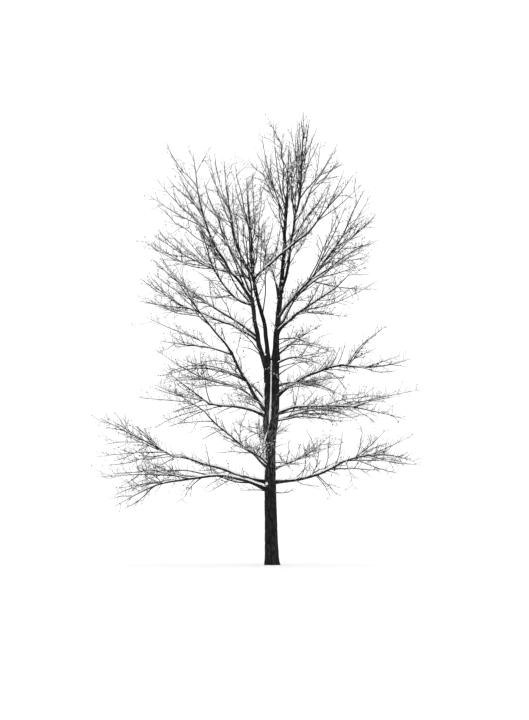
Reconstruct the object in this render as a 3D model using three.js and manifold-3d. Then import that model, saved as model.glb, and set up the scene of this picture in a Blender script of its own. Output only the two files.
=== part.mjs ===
// A bare broadleaf tree in winter, about 22.7 m tall: a trunk that forks into two stems side by side, the
// leaders and boughs that they carry, and the masses of twigs in which the boughs end.
// Millimetres, +Z up. The origin is the middle of the flat cut under the trunk, at ground level.
// Bearings are in degrees round +Z from +X, and slopes are in degrees above the level.
import * as THREE from "three";
import { mergeVertices } from "three/addons/utils/BufferGeometryUtils.js";
import Module from "manifold-3d";

// ---- driving dimensions ----

const CLEAR = 0.4; // gap that two pieces keep where they meet

const TRUNK_SIDES = 16;
const STEM_SIDES = 10;
const LEADER_SIDES = 8;
const BOUGH_SIDES = 6;
const TWIG_SIDES = 3;

// Root flare at the foot: how far it swells and to what height it dies away, with lobes round it.
const FLARE = { swell: 62, height: 420, lobes: 5, depth: 0.1, turn: 0.5 };

const CROOK = 0.011; // how far a limb strays to each side of its smooth line, as a share of its length
const LIMB_STEP = 600; // length of limb between two rings

// A mass's stem and arms: their sides, the length between two rings, and their radius as a share of the
// stem's: at the stem's tip, and at an arm's foot and tip.
const SPRAY_STEM = { sides: 4, step: 1200, tip: 0.3 };
const SPRAY_ARM = { sides: 3, step: 1500, foot: 0.62, tip: 0.22 };

const TWIG = {
  spacing: 1050, // along the arm that carries them
  first: 0.12, // share of the arm's length before the first twig
  last: 0.98,
  longest: 1250,
  share: 0.42, // of the arm's length, for a twig near its foot
  shrink: 0.65, // how much of that is lost towards the arm's tip
  vary: [0.7, 1.2],
  turn: 1.1, // how far a twig strays round its arm from straight out to one side, in radians
  fork: [32, 58], // angle that a twig opens from its arm
  lift: [0.1, 0.45], // how strongly it turns up towards the light
  radius: 13,
  tip: 4,
  bend: 1100, // a twig longer than this has a bend in it
  gap: 12, // clearance that it keeps to every other limb
  lowest: 1500, // no twig hangs lower
};
const STRAIGHT_UP = 0.97; // a limb steeper than this rise per length has no side of its own
const SAMPLE = 60; // distance between two places where a twig's clearance is measured

// The trunk runs on as the right-hand stem to the upper fork; the left-hand stem stands against it.
// Each station is a height, how far the middle lies along X, and the radius there.
const TRUNK = [
  [0, 0, 338],
  [180, -3, 334],
  [450, -8, 332],
  [1000, -25, 328],
  [2000, -35, 314],
  [3000, -55, 303],
  [4000, -70, 290],
  [5000, -85, 285],
  [5800, -88, 290],
  [6400, -30, 272],
  [7000, 120, 212],
  [8000, 185, 198],
  [9000, 195, 190],
  [10250, 200, 190],
];
const LEFT_STEM = [
  [5900, -190, 110],
  [6500, -268, 150],
  [7200, -290, 150],
  [8000, -245, 154],
  [9000, -222, 160],
  [9700, -225, 168],
  [10150, -190, 160],
];

// name, carrier, share of the carrier's length at which it leaves, bearing, reach, rise,
// slope where it leaves, slope at its tip, radius where it leaves, radius at its tip
const LEADERS = [
  ["right_leader", "trunk", 0.985, 10, 240, 3500, 88, 86, 168, 125],
  ["inner_right_leader", "right_leader", 0.97, 20, 290, 3500, 82, 88, 115, 80],
  ["outer_right_leader", "right_leader", 0.985, 335, 780, 3650, 66, 80, 78, 58],
  ["left_leader", "left_stem", 0.9, 200, 800, 3430, 62, 79, 135, 95],
  ["centre_leader", "left_stem", 0.985, 160, 745, 4190, 94, 82, 115, 84],
];
const BOUGHS = [
  ["upper_left_bough", "left_leader", 0.97, 205, 2250, 3000, 50, 62, 86, 52],
  ["left_long_bough", "centre_leader", 0.975, 160, 2300, 700, 22, 12, 74, 45],
  ["left_rising_bough", "centre_leader", 0.985, 215, 1300, 2250, 55, 78, 66, 40],
  ["snowy_bough", "centre_leader", 0.985, 322, 3750, 2300, 38, 40, 56, 43],
  ["upper_right_bough", "outer_right_leader", 0.96, 40, 1150, 1800, 35, 66, 50, 36],
  ["left_mid_bough", "left_leader", 0.381, 155, 3550, 1750, 40, 22, 70, 42],
  ["left_sweeping_bough", "left_stem", 0.39, 212, 2000, 2800, 42, 56, 92, 66],
  ["left_sweeping_top_bough", "left_sweeping_bough", 0.985, 208, 1350, 1500, 54, 50, 62, 42],
  ["left_inner_bough", "left_stem", 0.43, 165, 2150, 1220, 36, 8, 56, 38],
  ["left_lower_bough", "left_stem", 0.33, 195, 2900, 580, 30, 8, 80, 45],
  ["left_front_bough", "trunk", 0.455, 212, 3750, 2750, 36, 42, 56, 34],
  ["low_left_bough", "trunk", 0.347, 200, 3150, 760, 30, -8, 94, 62],
  ["low_left_back_bough", "trunk", 0.388, 168, 5000, 1400, 11, 6, 82, 50],
  ["low_right_bough", "trunk", 0.393, 345, 3700, 1000, 2, 32, 88, 55],
  ["right_lower_bough", "trunk", 0.718, 338, 2700, 400, 30, -4, 70, 45],
  ["right_mid_bough", "trunk", 0.802, 8, 3350, 1680, 50, 12, 86, 55],
  ["right_snowy_bough", "right_leader", 0.37, 318, 1400, 950, 48, 32, 80, 58],
  ["right_rising_bough", "right_leader", 0.63, 5, 1650, 1900, 54, 46, 92, 62],
];

// name, carrier, share of the carrier's length, then its stem and the arms that leave the stem:
// each arm is a share of the stem's length, bearing, reach, rise, slope where it leaves, slope at its tip
const MASSES = [
  ["upper_left_spray", "upper_left_bough", 1, 48,
    [200, 950, 4300, 64, 84],
    [0.08, 195, 2650, 2450, 34, 46], [0.1, 170, 3150, 1900, 26, 42],
    [0.2, 225, 1800, 2200, 50, 62], [0.5, 190, 1400, 2000, 48, 65]],
  ["inner_left_spray", "left_leader", 0.99, 62,
    [140, 3300, 6600, 62, 72],
    [0.5, 165, 1900, 2500, 45, 60], [0.42, 110, 1900, 2600, 50, 68], [0.66, 175, 1300, 1700, 50, 65]],
  ["left_shoulder_spray", "left_leader", 0.904, 60,
    [232, 4200, 3600, -4, 74],
    [0.27, 197, 2400, 200, -20, 28], [0.5, 255, 1800, 1900, 40, 60], [0.6, 215, 1700, 1500, 30, 50]],
  ["left_high_spray", "left_long_bough", 1, 42,
    [172, 2900, 1750, 16, 34],
    [0.05, 155, 2500, 2050, 42, 45], [0.06, 186, 3200, 1250, -5, 40], [0.45, 160, 1500, 1300, 40, 50]],
  ["left_crown_spray", "left_rising_bough", 1, 37,
    [225, 600, 3500, 76, 84],
    [0.08, 200, 1200, 3550, 62, 82], [0.12, 190, 1850, 1400, 28, 52], [0.3, 255, 1000, 2300, 60, 78]],
  ["centre_crown_spray", "centre_leader", 0.99, 60,
    [115, 900, 5500, 84, 82],
    [0.45, 172, 900, 3000, 65, 80], [0.5, 50, 1200, 2500, 62, 78], [0.4, 262, 1100, 2500, 62, 80],
    [0.55, 130, 1300, 2200, 55, 72]],
  ["right_front_spray", "snowy_bough", 1, 40,
    [330, 2150, 2300, 48, 56],
    [0.06, 295, 1500, 1800, 45, 65], [0.1, 352, 2100, 1700, 32, 48], [0.3, 312, 1300, 1800, 55, 70]],
  ["crown_left_spray", "inner_right_leader", 1, 57,
    [60, 400, 4300, 84, 88],
    [0.04, 165, 1250, 4450, 62, 82], [0.1, 160, 700, 5000, 72, 90], [0.2, 150, 1750, 3000, 50, 62],
    [0.35, 30, 700, 2300, 65, 82]],
  ["top_spire_spray", "outer_right_leader", 1, 53,
    [20, 500, 5450, 76, 91],
    [0.25, 330, 700, 2900, 68, 86], [0.2, 85, 900, 3000, 66, 84], [0.45, 200, 550, 2300, 66, 88]],
  ["upper_right_spray", "upper_right_bough", 1, 33,
    [30, 1450, 2100, 55, 58],
    [0.1, 70, 1100, 2450, 62, 75], [0.04, 5, 1400, 1400, 35, 60], [0.3, 40, 1000, 1500, 62, 70]],
  ["left_mid_spray", "left_mid_bough", 1, 39,
    [165, 2750, 1800, 20, 38],
    [0.1, 185, 2500, 350, 5, 20], [0.3, 140, 1900, 1500, 35, 45]],
  ["left_second_spray", "left_leader", 0.447, 60,
    [192, 5200, 3700, 32, 45],
    [0.4, 205, 2200, 1500, 25, 45], [0.5, 178, 2000, 900, 15, 35], [0.65, 205, 1500, 1500, 45, 60]],
  ["left_sweeping_spray", "left_sweeping_top_bough", 1, 39,
    [205, 2550, 3000, 50, 50],
    [0.2, 235, 1700, 1900, 45, 60], [0.35, 190, 1900, 1300, 28, 40], [0.1, 185, 1700, 1700, 40, 50]],
  ["left_drooping_spray", "left_sweeping_bough", 0.965, 46,
    [188, 3650, 650, 24, 12],
    [0.22, 180, 3500, 1650, 30, 25], [0.4, 215, 2000, 500, 5, 25]],
  ["left_inner_spray", "left_inner_bough", 1, 35,
    [172, 3450, 1750, 12, 40],
    [0.06, 150, 2400, 500, 12, 5], [0.1, 190, 2500, 150, 10, -14]],
  ["left_lower_spray", "left_lower_bough", 1, 42,
    [200, 2350, 1650, 30, 28],
    [0.08, 222, 2200, 400, 0, 15], [0.12, 182, 2500, 600, 5, 25]],
  ["left_front_spray", "left_front_bough", 1, 31,
    [205, 2650, 1200, 34, 14],
    [0.06, 192, 2300, -900, -12, -28], [0.3, 185, 2500, 200, 10, 8], [0.2, 232, 1700, 700, 20, 30]],
  ["low_left_spray", "low_left_bough", 1, 62,
    [205, 4900, -1500, -4, -38],
    [0.05, 192, 5000, -50, 8, -3], [0.08, 232, 1500, -1200, -25, -60], [0.3, 182, 3000, -400, -5, -15],
    [0.2, 222, 2600, 500, 15, 20]],
  ["low_left_back_spray", "low_left_back_bough", 1, 46,
    [176, 3650, 1900, 28, 25],
    [0.06, 160, 2500, 1000, 20, 15], [0.15, 185, 1700, 1350, 45, 40], [0.1, 190, 3300, -250, 5, -5],
    [0.4, 165, 1900, 1100, 35, 30]],
  ["low_right_spray", "low_right_bough", 1, 51,
    [350, 3500, -50, 24, -22],
    [0.05, 330, 3000, -150, 0, -8], [0.12, 5, 1700, 1500, 45, 60], [0.03, 285, 1300, -1500, -38, -62],
    [0.35, 358, 2000, 900, 30, 35]],
  ["low_right_back_spray", "trunk", 0.447, 58,
    [48, 4600, 1900, 15, 35],
    [0.35, 25, 2400, 900, 20, 35], [0.5, 78, 2200, 700, 15, 25], [0.25, 100, 1700, 600, 20, 30]],
  ["right_drooping_spray", "trunk", 0.685, 52,
    [28, 4700, 250, 28, -24],
    [0.3, 12, 2500, -200, 0, -12], [0.5, 52, 2300, 300, 10, 5]],
  ["right_lower_spray", "right_lower_bough", 1, 42,
    [345, 3800, -650, -2, -18],
    [0.25, 0, 3650, 800, 20, 12], [0.35, 322, 2300, 400, 15, 5]],
  ["right_back_spray", "trunk", 0.855, 48,
    [42, 5000, -300, 24, -22],
    [0.35, 22, 2400, 300, 12, 5], [0.5, 72, 2100, 600, 20, 15]],
  ["right_mid_spray", "right_mid_bough", 1, 51,
    [0, 3450, 320, -6, 26],
    [0.1, 15, 1900, 2000, 66, 42], [0.08, 345, 1700, 1750, 68, 38], [0.35, 335, 1800, 500, 15, 20],
    [0.05, 60, 1700, 1300, 40, 50]],
  ["right_inner_spray", "right_leader", 0.05, 52,
    [20, 2350, 1650, 60, 42],
    [0.35, 345, 2100, -450, 8, -25], [0.45, 60, 1700, 900, 30, 40]],
  ["right_snowy_spray", "right_snowy_bough", 1, 54,
    [325, 3300, 1950, 34, 54],
    [0.06, 340, 3200, 900, 6, 26], [0.03, 352, 2400, -300, -5, -15], [0.15, 298, 1700, 1300, 40, 50]],
  ["right_rising_spray", "right_rising_bough", 1, 58,
    [355, 2700, 4500, 48, 66],
    [0.05, 338, 2900, 2700, 34, 48], [0.3, 8, 2300, 1900, 28, 40], [0.45, 350, 1600, 2300, 45, 65],
    [0.04, 330, 1850, 3500, 62, 66]],
  ["right_back_rising_spray", "right_leader", 0.3, 78,
    [38, 6500, 5600, 72, 30],
    [0.5, 22, 2800, 1000, 15, 25], [0.45, 15, 3500, -250, -8, 14], [0.55, 72, 2300, 2100, 40, 55]],
  ["right_arching_spray", "trunk", 0.965, 52,
    [312, 3500, -350, 26, -30],
    [0.35, 338, 2300, 300, 10, 15], [0.5, 282, 2100, 500, 15, 20]],
  ["back_low_spray", "trunk", 0.52, 62,
    [97, 5600, 2000, 25, 20],
    [0.35, 70, 2900, 900, 20, 25], [0.5, 125, 2600, 900, 20, 25]],
  ["back_left_spray", "left_stem", 0.5, 66,
    [148, 5700, 1700, 50, -20],
    [0.3, 112, 3300, 1500, 30, 30], [0.5, 160, 2200, 700, 15, 20]],
  ["back_high_spray", "right_leader", 0.75, 66,
    [106, 3900, 5200, 64, 56],
    [0.35, 80, 2600, 2000, 40, 50], [0.45, 140, 2100, 2200, 40, 55], [0.3, 95, 3000, 1300, 20, 35]],
  ["front_low_spray", "trunk", 0.47, 58,
    [252, 4800, 1000, 15, 15],
    [0.35, 278, 2500, 600, 15, 20], [0.45, 225, 2200, 700, 20, 20]],
  ["front_high_spray", "left_leader", 0.642, 62,
    [262, 3800, 4300, 42, 58],
    [0.35, 292, 2300, 1500, 30, 48], [0.45, 235, 2000, 1800, 40, 55]],
];

// ---- repeatable chance ----

// A number that depends on both of its inputs and on nothing else.
function mix(a, b) {
  let h = Math.imul(a ^ Math.imul(b + 0x9e3779b9, 0x85ebca6b), 0xc2b2ae35);
  h ^= h >>> 16;
  return Math.imul(h, 0x27d4eb2f) >>> 0;
}

function dice(seed) {
  let state = seed >>> 0;
  return () => {
    state = (Math.imul(state, 1664525) + 1013904223) >>> 0;
    return state / 4294967296;
  };
}

// ---- lines of growth: points from foot to tip, with the radius at each ----

const UP = new THREE.Vector3(0, 0, 1);
const rad = THREE.MathUtils.degToRad;
const lerp = THREE.MathUtils.lerp;

function heading(bearing, slope) {
  const level = Math.cos(rad(slope));
  const x = level * Math.cos(rad(bearing));
  const y = level * Math.sin(rad(bearing));
  return new THREE.Vector3(x, y, Math.sin(rad(slope)));
}

function stemLine(stations) {
  return {
    points: stations.map(([height, lean]) => new THREE.Vector3(lean, 0, height)),
    radii: stations.map(([, , radius]) => radius),
  };
}

// A crooked line between two places that leaves and arrives at the given slopes.
function limbLine(start, bearing, reach, rise, leave, arrive, thick, thin, step, seed) {
  const end = start.clone().add(new THREE.Vector3(reach, 0, rise).applyAxisAngle(UP, rad(bearing)));
  const length = start.distanceTo(end);
  const smooth = new THREE.CubicBezierCurve3(
    start,
    start.clone().addScaledVector(heading(bearing, leave), length / 3),
    end.clone().addScaledVector(heading(bearing, arrive), -length / 3),
    end,
  );
  const steps = Math.max(2, Math.round(length / step));
  const roll = dice(seed);
  const stray = () => (2 * roll() - 1) * CROOK * length;
  const points = [];
  const radii = [];
  for (let i = 0; i <= steps; i++) {
    const share = i / steps;
    const point = smooth.getPoint(share);
    const shift = new THREE.Vector3(stray(), stray(), stray());
    if (i > 0 && i < steps) point.add(shift);
    points.push(point);
    radii.push(lerp(thick, thin, share));
  }
  return { points, radii };
}

// The place, direction and radius at a share of a line's length. Stations of a stem are not evenly spaced,
// so the share is measured along the points themselves.
function placeOn(line, share) {
  const { points, radii } = line;
  const lengths = points.slice(1).map((point, i) => point.distanceTo(points[i]));
  let left = share * lengths.reduce((sum, length) => sum + length, 0);
  let i = 0;
  while (i < lengths.length - 1 && left > lengths[i]) left -= lengths[i++];
  const part = Math.min(1, left / lengths[i]);
  return {
    point: points[i].clone().lerp(points[i + 1], part),
    along: points[i + 1].clone().sub(points[i]).normalize(),
    radius: lerp(radii[i], radii[i + 1], part),
  };
}

// A twig opens from its carrier to one side and turns up towards the light.
function twigLine(carrier, share, length, turn, fork, lift) {
  const { point, along } = placeOn(carrier, share);
  const upright = Math.abs(along.z) > STRAIGHT_UP;
  const side = upright ? new THREE.Vector3(1, 0, 0) : along.clone().cross(UP).normalize();
  const over = side.clone().cross(along);
  const out = side.multiplyScalar(Math.cos(turn)).addScaledVector(over, Math.sin(turn));
  const first = along.clone().multiplyScalar(Math.cos(fork)).addScaledVector(out, Math.sin(fork));
  first.addScaledVector(UP, lift).normalize();
  const second = first.clone().addScaledVector(UP, lift).normalize();
  const middle = point.clone().addScaledVector(first, length / 2);
  const tip = middle.clone().addScaledVector(second, length / 2);
  return length > TWIG.bend
    ? { points: [point, middle, tip], radii: [TWIG.radius, (TWIG.radius + TWIG.tip) / 2, TWIG.tip] }
    : { points: [point, tip], radii: [TWIG.radius, TWIG.tip] };
}

// ---- solids ----

const wasm = await Module();
wasm.setup();

// A closed tube through rings, each with a middle, two directions across it and a radius for every angle.
// It ends in a flat face at its foot, and in a flat face or a point at its tip.
function tube(rings, sides, pointed) {
  const geometry = new THREE.CylinderGeometry(pointed ? 0 : 1, 1, 1, sides, rings.length - 1);
  const position = geometry.getAttribute("position");
  for (let i = 0; i < position.count; i++) {
    const ring = rings[Math.round((position.getY(i) + 0.5) * (rings.length - 1))];
    const angle = Math.atan2(-position.getZ(i), position.getX(i));
    const onAxis = Math.hypot(position.getX(i), position.getZ(i)) < 1e-6;
    const radius = onAxis ? 0 : ring.radius(angle);
    const point = ring.middle.clone().addScaledVector(ring.across, radius * Math.cos(angle));
    point.addScaledVector(ring.over, -radius * Math.sin(angle));
    position.setXYZ(i, point.x, point.y, point.z);
  }
  return solidOf(geometry);
}

function solidOf(geometry) {
  geometry.deleteAttribute("normal");
  geometry.deleteAttribute("uv");
  const merged = mergeVertices(geometry);
  return new wasm.Manifold(
    new wasm.Mesh({
      numProp: 3,
      vertProperties: new Float32Array(merged.getAttribute("position").array),
      triVerts: new Uint32Array(merged.index.array),
    }),
  );
}

// A stem's rings are level, so that its foot is flat on the ground.
function stemSolid(line, sides, flare, grow) {
  const rings = line.points.map((middle, i) => ({
    middle,
    across: new THREE.Vector3(1, 0, 0),
    over: new THREE.Vector3(0, -1, 0),
    radius: (angle) => {
      const lobe = flare.depth * line.radii[i] * Math.cos(flare.lobes * angle + flare.turn);
      return line.radii[i] + (flare.swell + lobe) * Math.exp(-middle.z / flare.height) + grow;
    },
  }));
  return tube(stretched(rings, grow), sides, false);
}

// A limb's rings stand square to it and don't twist.
function limbSolid(line, sides, grow) {
  const { points, radii } = line;
  let over = new THREE.Vector3(0, 1, 0);
  const rings = points.map((middle, i) => {
    const before = points[Math.max(i - 1, 0)];
    const after = points[Math.min(i + 1, points.length - 1)];
    const along = after.clone().sub(before).normalize();
    over = over.clone().addScaledVector(along, -over.dot(along)).normalize();
    return { middle, along, over, across: along.clone().cross(over), radius: () => radii[i] + grow };
  });
  return tube(stretched(rings, grow), sides, sides === TWIG_SIDES);
}

// The same rings with both ends pushed out by the amount that the solid is grown.
function stretched(rings, grow) {
  if (grow === 0) return rings;
  const push = (ring, next) => {
    const away = ring.middle.clone().sub(next.middle).normalize();
    return { ...ring, middle: ring.middle.clone().addScaledVector(away, grow) };
  };
  return [push(rings[0], rings[1]), ...rings.slice(1, -1), push(rings.at(-1), rings.at(-2))];
}

// The largest body alone: a scrap that a cut leaves loose is dropped and a sealed hollow is filled.
function whole(solid) {
  const bodies = solid.decompose();
  return bodies.reduce((best, body) => (body.volume() > best.volume() ? body : best));
}

function boxesMeet(a, b) {
  const boxA = a.boundingBox();
  const boxB = b.boundingBox();
  return [0, 1, 2].every((axis) => boxA.min[axis] <= boxB.max[axis] && boxB.min[axis] <= boxA.max[axis]);
}

function cutBy(solid, cutters) {
  return cutters.reduce((rest, cutter) => (boxesMeet(rest, cutter) ? rest.subtract(cutter) : rest), solid);
}

// ---- the tree ----

const bark = new THREE.MeshStandardMaterial({ color: 0x2b2725, roughness: 0.95, metalness: 0 });
const twigBark = new THREE.MeshStandardMaterial({ color: 0x4a4542, roughness: 0.9, metalness: 0 });

const tree = new THREE.Group();

function addNode(name, solid, material) {
  const { vertProperties, triVerts, numProp } = solid.getMesh();
  const geometry = new THREE.BufferGeometry();
  geometry.setAttribute("position", new THREE.BufferAttribute(vertProperties, numProp));
  geometry.setIndex(new THREE.BufferAttribute(triVerts, 1));
  geometry.computeVertexNormals();
  const mesh = new THREE.Mesh(geometry, material);
  mesh.name = name;
  tree.add(mesh);
}

const lines = new Map(); // each limb's line of growth
const cutters = []; // each limb again, grown by the gap that its neighbours keep

function addLimb(name, line, make) {
  lines.set(name, line);
  addNode(name, whole(cutBy(make(0), cutters)), bark);
  cutters.push(make(CLEAR));
}

function addStem(name, stations, sides, flare) {
  const line = stemLine(stations);
  addLimb(name, line, (grow) => stemSolid(line, sides, flare, grow));
}

function addLimbs(rows, sides) {
  rows.forEach(([name, carrier, share, bearing, reach, rise, leave, arrive, thick, thin]) => {
    const start = placeOn(lines.get(carrier), share).point;
    const seed = mix(lines.size, 1);
    const line = limbLine(start, bearing, reach, rise, leave, arrive, thick, thin, LIMB_STEP, seed);
    addLimb(name, line, (grow) => limbSolid(line, sides, grow));
  });
}

addStem("trunk", TRUNK, TRUNK_SIDES, FLARE);
addStem("left_stem", LEFT_STEM, STEM_SIDES, { ...FLARE, swell: 0, depth: 0 });
addLimbs(LEADERS, LEADER_SIDES);
addLimbs(BOUGHS, BOUGH_SIDES);

// A mass's stem goes on from its carrier, and its arms leave the stem.
function massLines([, carrier, share, thick, stem, ...arms], index) {
  const start = placeOn(lines.get(carrier), share).point;
  const first = limbLine(start, ...stem, thick, thick * SPRAY_STEM.tip, SPRAY_STEM.step, mix(index, 100));
  const others = arms.map(([at, ...shape], i) => {
    const { point, radius } = placeOn(first, at);
    const radii = [radius * SPRAY_ARM.foot, radius * SPRAY_ARM.tip];
    return limbLine(point, ...shape, ...radii, SPRAY_ARM.step, mix(index, 101 + i));
  });
  return [first, ...others];
}

const skeletons = MASSES.map(massLines);

// Every stretch of limb, stem and arm that a twig has to keep clear of, with the mass that owns it.
const stretches = [];
function claim(line, owner) {
  line.points.slice(1).forEach((point, i) => {
    stretches.push({ line: new THREE.Line3(line.points[i], point), radius: line.radii[i], owner });
  });
}
lines.forEach((line) => claim(line, null));
skeletons.forEach((skeleton, owner) => skeleton.forEach((line) => claim(line, owner)));

const nearest = new THREE.Vector3();
function distanceTo(stretch, point) {
  return stretch.line.closestPointToPoint(point, true, nearest).distanceTo(point);
}

// A twig keeps to its own mass's space when its tip is nearer to its own stem and arms than to any other
// mass's, and it keeps clear of every limb and of every other mass's twigs.
function fits(line, owner) {
  const tip = line.points.at(-1);
  if (tip.z < TWIG.lowest) return false;
  const others = stretches.filter((stretch) => stretch.owner !== owner);
  const own = stretches.filter((stretch) => stretch.owner === owner);
  const toOwn = Math.min(...own.map((stretch) => distanceTo(stretch, tip)));
  const length = line.points[0].distanceTo(tip);
  const samples = Math.ceil(length / SAMPLE);
  return others.every((stretch) => {
    if (distanceTo(stretch, tip) > length + stretch.line.distance()) return true;
    if (stretch.owner !== null && distanceTo(stretch, tip) < toOwn) return false;
    for (let i = 0; i <= samples; i++) {
      const { point, radius } = placeOn(line, i / samples);
      if (distanceTo(stretch, point) < stretch.radius + radius + TWIG.gap) return false;
    }
    return true;
  });
}

function twigsOn(line, owner, armIndex) {
  const length = line.points.slice(1).reduce((sum, point, i) => sum + point.distanceTo(line.points[i]), 0);
  const count = Math.round(length / TWIG.spacing);
  const twigs = [];
  for (let k = 0; k < count; k++) {
    const roll = dice(mix(mix(owner, 200 + armIndex), k));
    roll();
    const share = lerp(TWIG.first, TWIG.last, (k + roll()) / count);
    const longest = Math.min(TWIG.longest, TWIG.share * length);
    const size = longest * (1 - TWIG.shrink * share) * lerp(...TWIG.vary, roll());
    const turn = (k % 2 ? Math.PI : 0) + (2 * roll() - 1) * TWIG.turn;
    const fork = rad(lerp(...TWIG.fork, roll()));
    const lift = lerp(...TWIG.lift, roll());
    const twig = twigLine(line, share, size, turn, fork, lift);
    if (fits(twig, owner)) twigs.push(twig);
  }
  return twigs;
}

skeletons.forEach((skeleton, owner) => {
  const twigs = skeleton.flatMap((line, armIndex) => twigsOn(line, owner, armIndex));
  twigs.forEach((twig) => claim(twig, owner));
  const wood = skeleton.map((line, i) => limbSolid(line, i === 0 ? SPRAY_STEM.sides : SPRAY_ARM.sides, 0));
  const spray = wasm.Manifold.union([...wood, ...twigs.map((twig) => limbSolid(twig, TWIG_SIDES, 0))]);
  addNode(MASSES[owner][0], whole(cutBy(spray, cutters)), twigBark);
});

export default tree;
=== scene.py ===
"""Dresses a bare winter tree: furrowed bark, branches, twigs down to the finest, and the snow on them.

Metres, +Z up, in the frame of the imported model. The tables are in millimetres and degrees, as the solids'
are, and the limbs, the masses' stems and arms, and their first twigs grow by the same rule as the solids do.
"""

import math
from collections import namedtuple
from functools import cache

import bmesh
import bpy
import numpy as np
from bpy.props import FloatProperty, FloatVectorProperty, IntProperty, PointerProperty
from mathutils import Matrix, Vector, noise


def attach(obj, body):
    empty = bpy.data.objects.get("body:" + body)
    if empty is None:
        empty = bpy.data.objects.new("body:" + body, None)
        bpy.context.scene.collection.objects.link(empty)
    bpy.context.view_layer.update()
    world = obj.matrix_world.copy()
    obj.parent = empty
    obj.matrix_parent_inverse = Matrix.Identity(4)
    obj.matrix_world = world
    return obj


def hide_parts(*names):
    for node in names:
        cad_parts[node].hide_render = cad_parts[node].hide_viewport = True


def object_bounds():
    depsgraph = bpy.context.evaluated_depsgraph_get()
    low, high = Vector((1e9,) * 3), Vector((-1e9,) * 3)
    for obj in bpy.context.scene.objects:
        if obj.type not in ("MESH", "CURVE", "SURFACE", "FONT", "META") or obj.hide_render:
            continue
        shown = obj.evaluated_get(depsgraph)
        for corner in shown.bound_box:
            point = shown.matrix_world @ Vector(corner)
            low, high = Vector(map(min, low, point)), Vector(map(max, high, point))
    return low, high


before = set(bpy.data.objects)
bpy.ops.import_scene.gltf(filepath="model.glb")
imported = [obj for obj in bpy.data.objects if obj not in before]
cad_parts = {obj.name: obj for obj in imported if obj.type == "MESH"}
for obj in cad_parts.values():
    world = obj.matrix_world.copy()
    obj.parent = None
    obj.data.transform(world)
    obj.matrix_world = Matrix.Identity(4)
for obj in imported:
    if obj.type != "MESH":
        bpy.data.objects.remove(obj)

bl_info = {
    "name": "Bare Winter Tree",
    "version": (1, 0, 0),
    "blender": (4, 5, 0),
    "location": "View3D > Sidebar > Winter Tree",
    "description": "Bark, branches, twigs and snow of a bare winter tree",
    "category": "Object",
}

CAD_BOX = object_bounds()
MM = 0.001
UP = np.array([0.0, 0.0, 1.0])

# ---- the tree's own sizes, in millimetres and degrees ----

FLARE = {"swell": 62, "height": 420, "lobes": 5, "depth": 0.1, "turn": 0.5}
CROOK = 0.011  # how far a limb strays to each side of its smooth line, as a share of its length
LIMB_STEP = 600  # between two places of a limb
SPRAY_STEM = {"step": 1200, "tip": 0.3}  # the tip's radius is a share of the foot's
SPRAY_ARM = {"step": 1500, "foot": 0.62, "tip": 0.22}  # radii as shares of the stem's
TWIG = {
    "spacing": 1050,
    "first": 0.12,
    "last": 0.98,
    "longest": 1250,
    "share": 0.42,
    "shrink": 0.65,
    "vary": (0.7, 1.2),
    "turn": 1.1,
    "fork": (32, 58),
    "lift": (0.1, 0.45),
    "radius": 13,
    "tip": 4,
}
STRAIGHT_UP = 0.97  # a limb steeper than this rise per length has no side of its own

# The trunk runs on as the right-hand stem to the upper fork; the left-hand stem stands against it.
# Each station is a height, how far the middle lies along X, and the radius there.
TRUNK = [
  [0, 0, 338],
  [180, -3, 334],
  [450, -8, 332],
  [1000, -25, 328],
  [2000, -35, 314],
  [3000, -55, 303],
  [4000, -70, 290],
  [5000, -85, 285],
  [5800, -88, 290],
  [6400, -30, 272],
  [7000, 120, 212],
  [8000, 185, 198],
  [9000, 195, 190],
  [10250, 200, 190],
]
LEFT_STEM = [
  [5900, -190, 110],
  [6500, -268, 150],
  [7200, -290, 150],
  [8000, -245, 154],
  [9000, -222, 160],
  [9700, -225, 168],
  [10150, -190, 160],
]
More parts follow.
